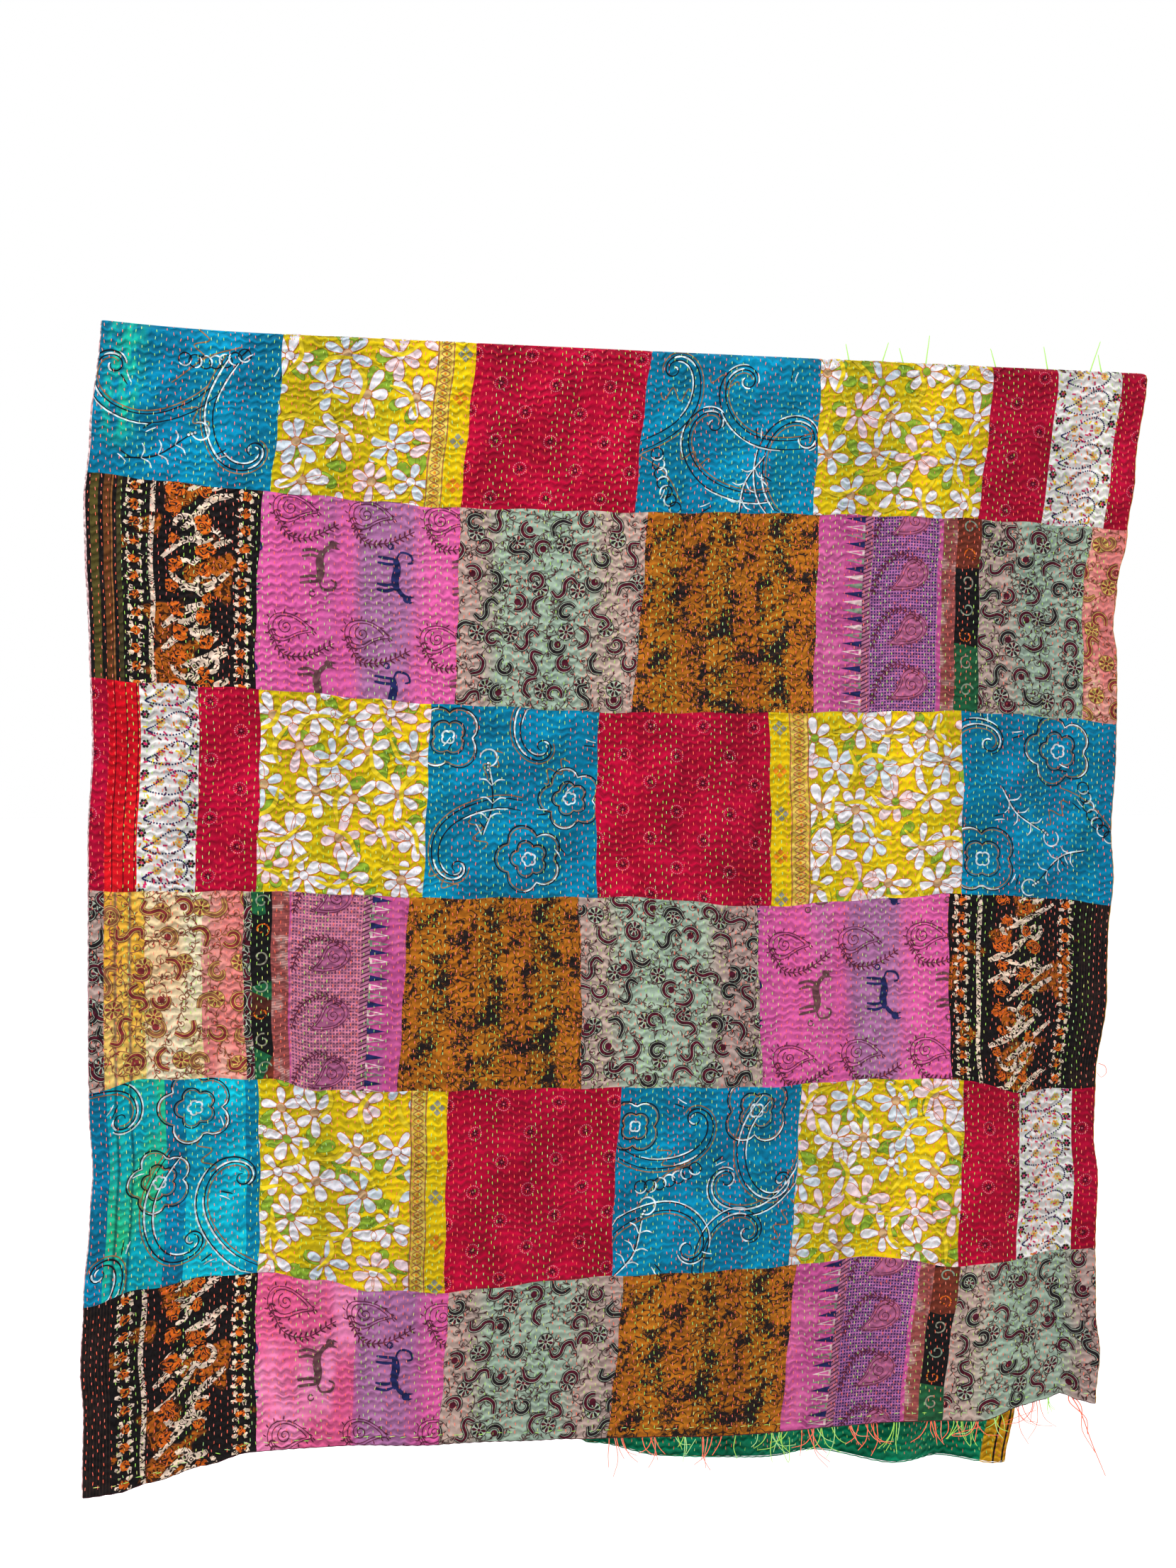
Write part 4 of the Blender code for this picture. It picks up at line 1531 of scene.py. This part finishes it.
def tube(path, radius, sides=4):
    """Points and faces of a thin tapering tube along a path."""
    path = np.asarray(path, float)
    tangent = np.gradient(path, axis=0)
    tangent /= np.linalg.norm(tangent, axis=1, keepdims=True)
    side = np.cross(tangent, (0.31, 0.94, 0.12))
    side /= np.linalg.norm(side, axis=1, keepdims=True)
    other = np.cross(tangent, side)
    thickness = radius * np.linspace(1.0, 0.55, len(path))
    rings = []
    for k in range(sides):
        angle = 2 * math.pi * k / sides
        rings.append(path + (side * math.cos(angle) + other * math.sin(angle)) * thickness[:, None])
    points = np.stack(rings, axis=1).reshape(-1, 3)
    faces = [(r + k, r + (k + 1) % sides, r + sides + (k + 1) % sides, r + sides + k)
             for r in range(0, (len(path) - 1) * sides, sides) for k in range(sides)]
    faces.append(tuple(range(sides))[::-1])
    faces.append(tuple(range(len(points) - sides, len(points))))
    return points, faces


def join_tubes(name, tubes, looks, choices):
    points, faces, face_looks, count = [], [], [], 0
    for (tube_points, tube_faces), choice in zip(tubes, choices):
        points.append(tube_points)
        faces += [tuple(k + count for k in face) for face in tube_faces]
        face_looks += [choice] * len(tube_faces)
        count += len(tube_points)
    item = add_mesh(name, np.concatenate(points), faces, looks, face_looks)
    return item


def hem_root(across, behind=0.0026):
    height = hem_height(FRONT, np.array([across])) + 0.004
    point = reference_point(FRONT, x_at(FRONT, height, across), drop_of(height))[0]
    return point + np.array([0, behind, 0])


# Clusters of loose ends along the front hem: share of the width, spread as a
# share, how many, longest, and the thread (0 coral, 1 green)
TAIL_CLUSTERS = (
    (0.500, 0.010, 4, 0.050, 0),
    (0.530, 0.012, 4, 0.040, 0),
    (0.565, 0.015, 4, 0.034, 1),
    (0.598, 0.012, 4, 0.046, 0),
    (0.640, 0.020, 5, 0.040, 1),
    (0.668, 0.012, 4, 0.052, 1),
    (0.690, 0.015, 4, 0.056, 0),
    (0.712, 0.012, 4, 0.054, 1),
    (0.745, 0.008, 3, 0.040, 0),
    (0.762, 0.008, 4, 0.052, 0),
    (0.785, 0.010, 4, 0.048, 1),
    (0.825, 0.008, 4, 0.040, 0),
    (0.842, 0.010, 3, 0.034, 0),
    (0.860, 0.012, 5, 0.040, 1),
    (0.875, 0.006, 2, 0.052, 0),
    (0.893, 0.008, 4, 0.032, 1),
    (0.918, 0.004, 3, 0.060, 0),
    (0.940, 0.005, 3, 0.056, 0),
    (0.952, 0.004, 3, 0.034, 1),
)


def make_tails():
    """Loose thread ends at the front hem, a few of them looped back."""
    draw = random.Random(3)
    tubes, choices = [], []
    for middle, spread, count, longest, thread in TAIL_CLUSTERS:
        for _ in range(count + 1):
            root = hem_root(min(0.985, middle + draw.uniform(-spread, spread)))
            length = longest * draw.uniform(0.6, 1.2)
            lean = draw.uniform(-0.6, 0.6)
            curl = draw.uniform(-0.6, 0.6)
            knots = [root]
            for step in (0.3, 0.65, 1.0):
                turn = lean * (0.4 + 0.6 * step) + curl * step * step
                forward = -0.004 * step - 0.004 * draw.random()
                knots.append(root + (math.sin(turn) * length * step, forward,
                                     -math.cos(turn) * length * step))
            if draw.random() < 0.12:
                knots.append(root + (math.sin(lean) * length * 0.4 + 0.012, -0.008, -length * 0.25))
            tubes.append(tube(smooth(*knots), 0.00070))
            choices.append(thread * 3 + draw.choice((0, 0, 1)))
    corner = hem_root(0.975)
    for reach, sway, choice in ((1.0, 0.0, 0), (0.72, 0.006, 1), (0.5, -0.008, 0)):
        long_end = [corner, corner + (0.018 * reach + sway, -0.002, -0.030 * reach),
                    corner + (0.036 * reach - sway, -0.003, -0.078 * reach),
                    corner + (0.058 * reach, -0.002, -0.128 * reach)]
        tubes.append(tube(smooth(*long_end), 0.0010))
        choices.append(choice)
    item = join_tubes("thread_tails", tubes, CORAL_THREADS + GREEN_THREADS, choices)
    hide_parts("thread_ends")
    return item


def make_top_tails():
    """A few ends that stand up from the stitches at the fold, and a small loop at the right edge."""
    draw = random.Random(8)
    tubes = []
    for x, length in ((0.385, 0.024), (0.436, 0.030), (0.468, 0.022), (0.503, 0.042), (0.612, 0.028),
                      (0.694, 0.034), (0.762, 0.048), (0.780, 0.026)):
        root = reference_point(FRONT, np.array([x]), np.array([0.004]))[0]
        lean = draw.uniform(-0.35, 0.35)
        knots = [root + np.array([math.sin(lean) * length * s, -0.002, math.cos(lean) * length * s + 0.001])
                 for s in (0, 0.35, 0.7, 1)]
        tubes.append(tube(smooth(*knots), 0.0009))
    side = reference_point(FRONT, np.array([0.772]), np.array([drop_of(-1.03)]))[0]
    loop = ((0, 0, 0), (0.009, -0.003, -0.004), (0.011, -0.003, -0.014), (0.003, -0.003, -0.020),
            (-0.004, -0.003, -0.013))
    tubes.append(tube(smooth(*(side + step for step in loop)), 0.0006))
    choices = [3] * (len(tubes) - 1) + [0]
    return join_tubes("thread_top_tails", tubes, CORAL_THREADS + GREEN_THREADS, choices)


# Studio

CAMERA_TURN = math.radians(11.0)
CAMERA_DISTANCE = 2.61
CAMERA_HEIGHT = -0.614
FOCAL_SHARE = 2600.0 / 2212.0
SENSOR = 36.0
FLOOR_HEIGHT = -1.78
FLOOR_REACH = 60.0
PALE = (0.86, 0.86, 0.86, 1)
FLOOR_FINISH = {"Base Color": PALE, "Roughness": 0.9, "Emission Color": PALE, "Emission Strength": 0.18}
# Lamps: name, place, width and power
LAMPS = (
    ("key", (-2.3, -2.4, 2.5), 1.4, 190),
    ("rear", (2.3, 2.5, 2.3), 1.8, 150),
)


def make_camera():
    lens = bpy.data.cameras.new("camera")
    lens.sensor_width = SENSOR
    lens.lens = SENSOR * FOCAL_SHARE
    item = bpy.data.objects.new("camera", lens)
    item.location = (-CAMERA_DISTANCE * math.sin(CAMERA_TURN), -CAMERA_DISTANCE * math.cos(CAMERA_TURN),
                     CAMERA_HEIGHT)
    item.rotation_euler = (math.pi / 2, 0, -CAMERA_TURN)
    bpy.context.scene.collection.objects.link(item)
    bpy.context.scene.camera = item


def make_studio():
    """Plain pale floor in a light surround, with a large soft lamp on each side of the quilt."""
    mesh = bpy.data.meshes.new("studio_floor")
    reach = FLOOR_REACH
    corners = [(x, y, FLOOR_HEIGHT) for x,
               y in ((-reach, -reach), (reach, -reach), (reach, reach), (-reach, reach))]
    mesh.from_pydata(corners, [], [(0, 1, 2, 3)])
    mesh.materials.append(new_material("studio_white", FLOOR_FINISH)[0])
    floor = bpy.data.objects.new("studio_floor", mesh)
    bpy.context.scene.collection.objects.link(floor)
    for name, place, size, power in LAMPS:
        lamp = bpy.data.lights.new(name, "AREA")
        lamp.size = size
        lamp.energy = power
        item = bpy.data.objects.new(name, lamp)
        item.location = place
        item.rotation_euler = (Vector((0, 0, -0.8)) - Vector(place)).to_track_quat("-Z", "Y").to_euler()
        item.visible_camera = False
        bpy.context.scene.collection.objects.link(item)
    world = bpy.data.worlds.new("studio")
    world.use_nodes = True
    light = world.node_tree.nodes["Background"]
    light.inputs["Color"].default_value = (1, 1, 1, 1)
    light.inputs["Strength"].default_value = 1.0
    bpy.context.scene.world = world
    bpy.context.scene.view_settings.view_transform = "Standard"


def main():
    make_camera()
    make_studio()
    patches, prints = make_patchwork()
    backing = make_backing()
    trims = make_edges() + make_stitches() + [make_tails(), make_top_tails()]
    prints + trims


main()
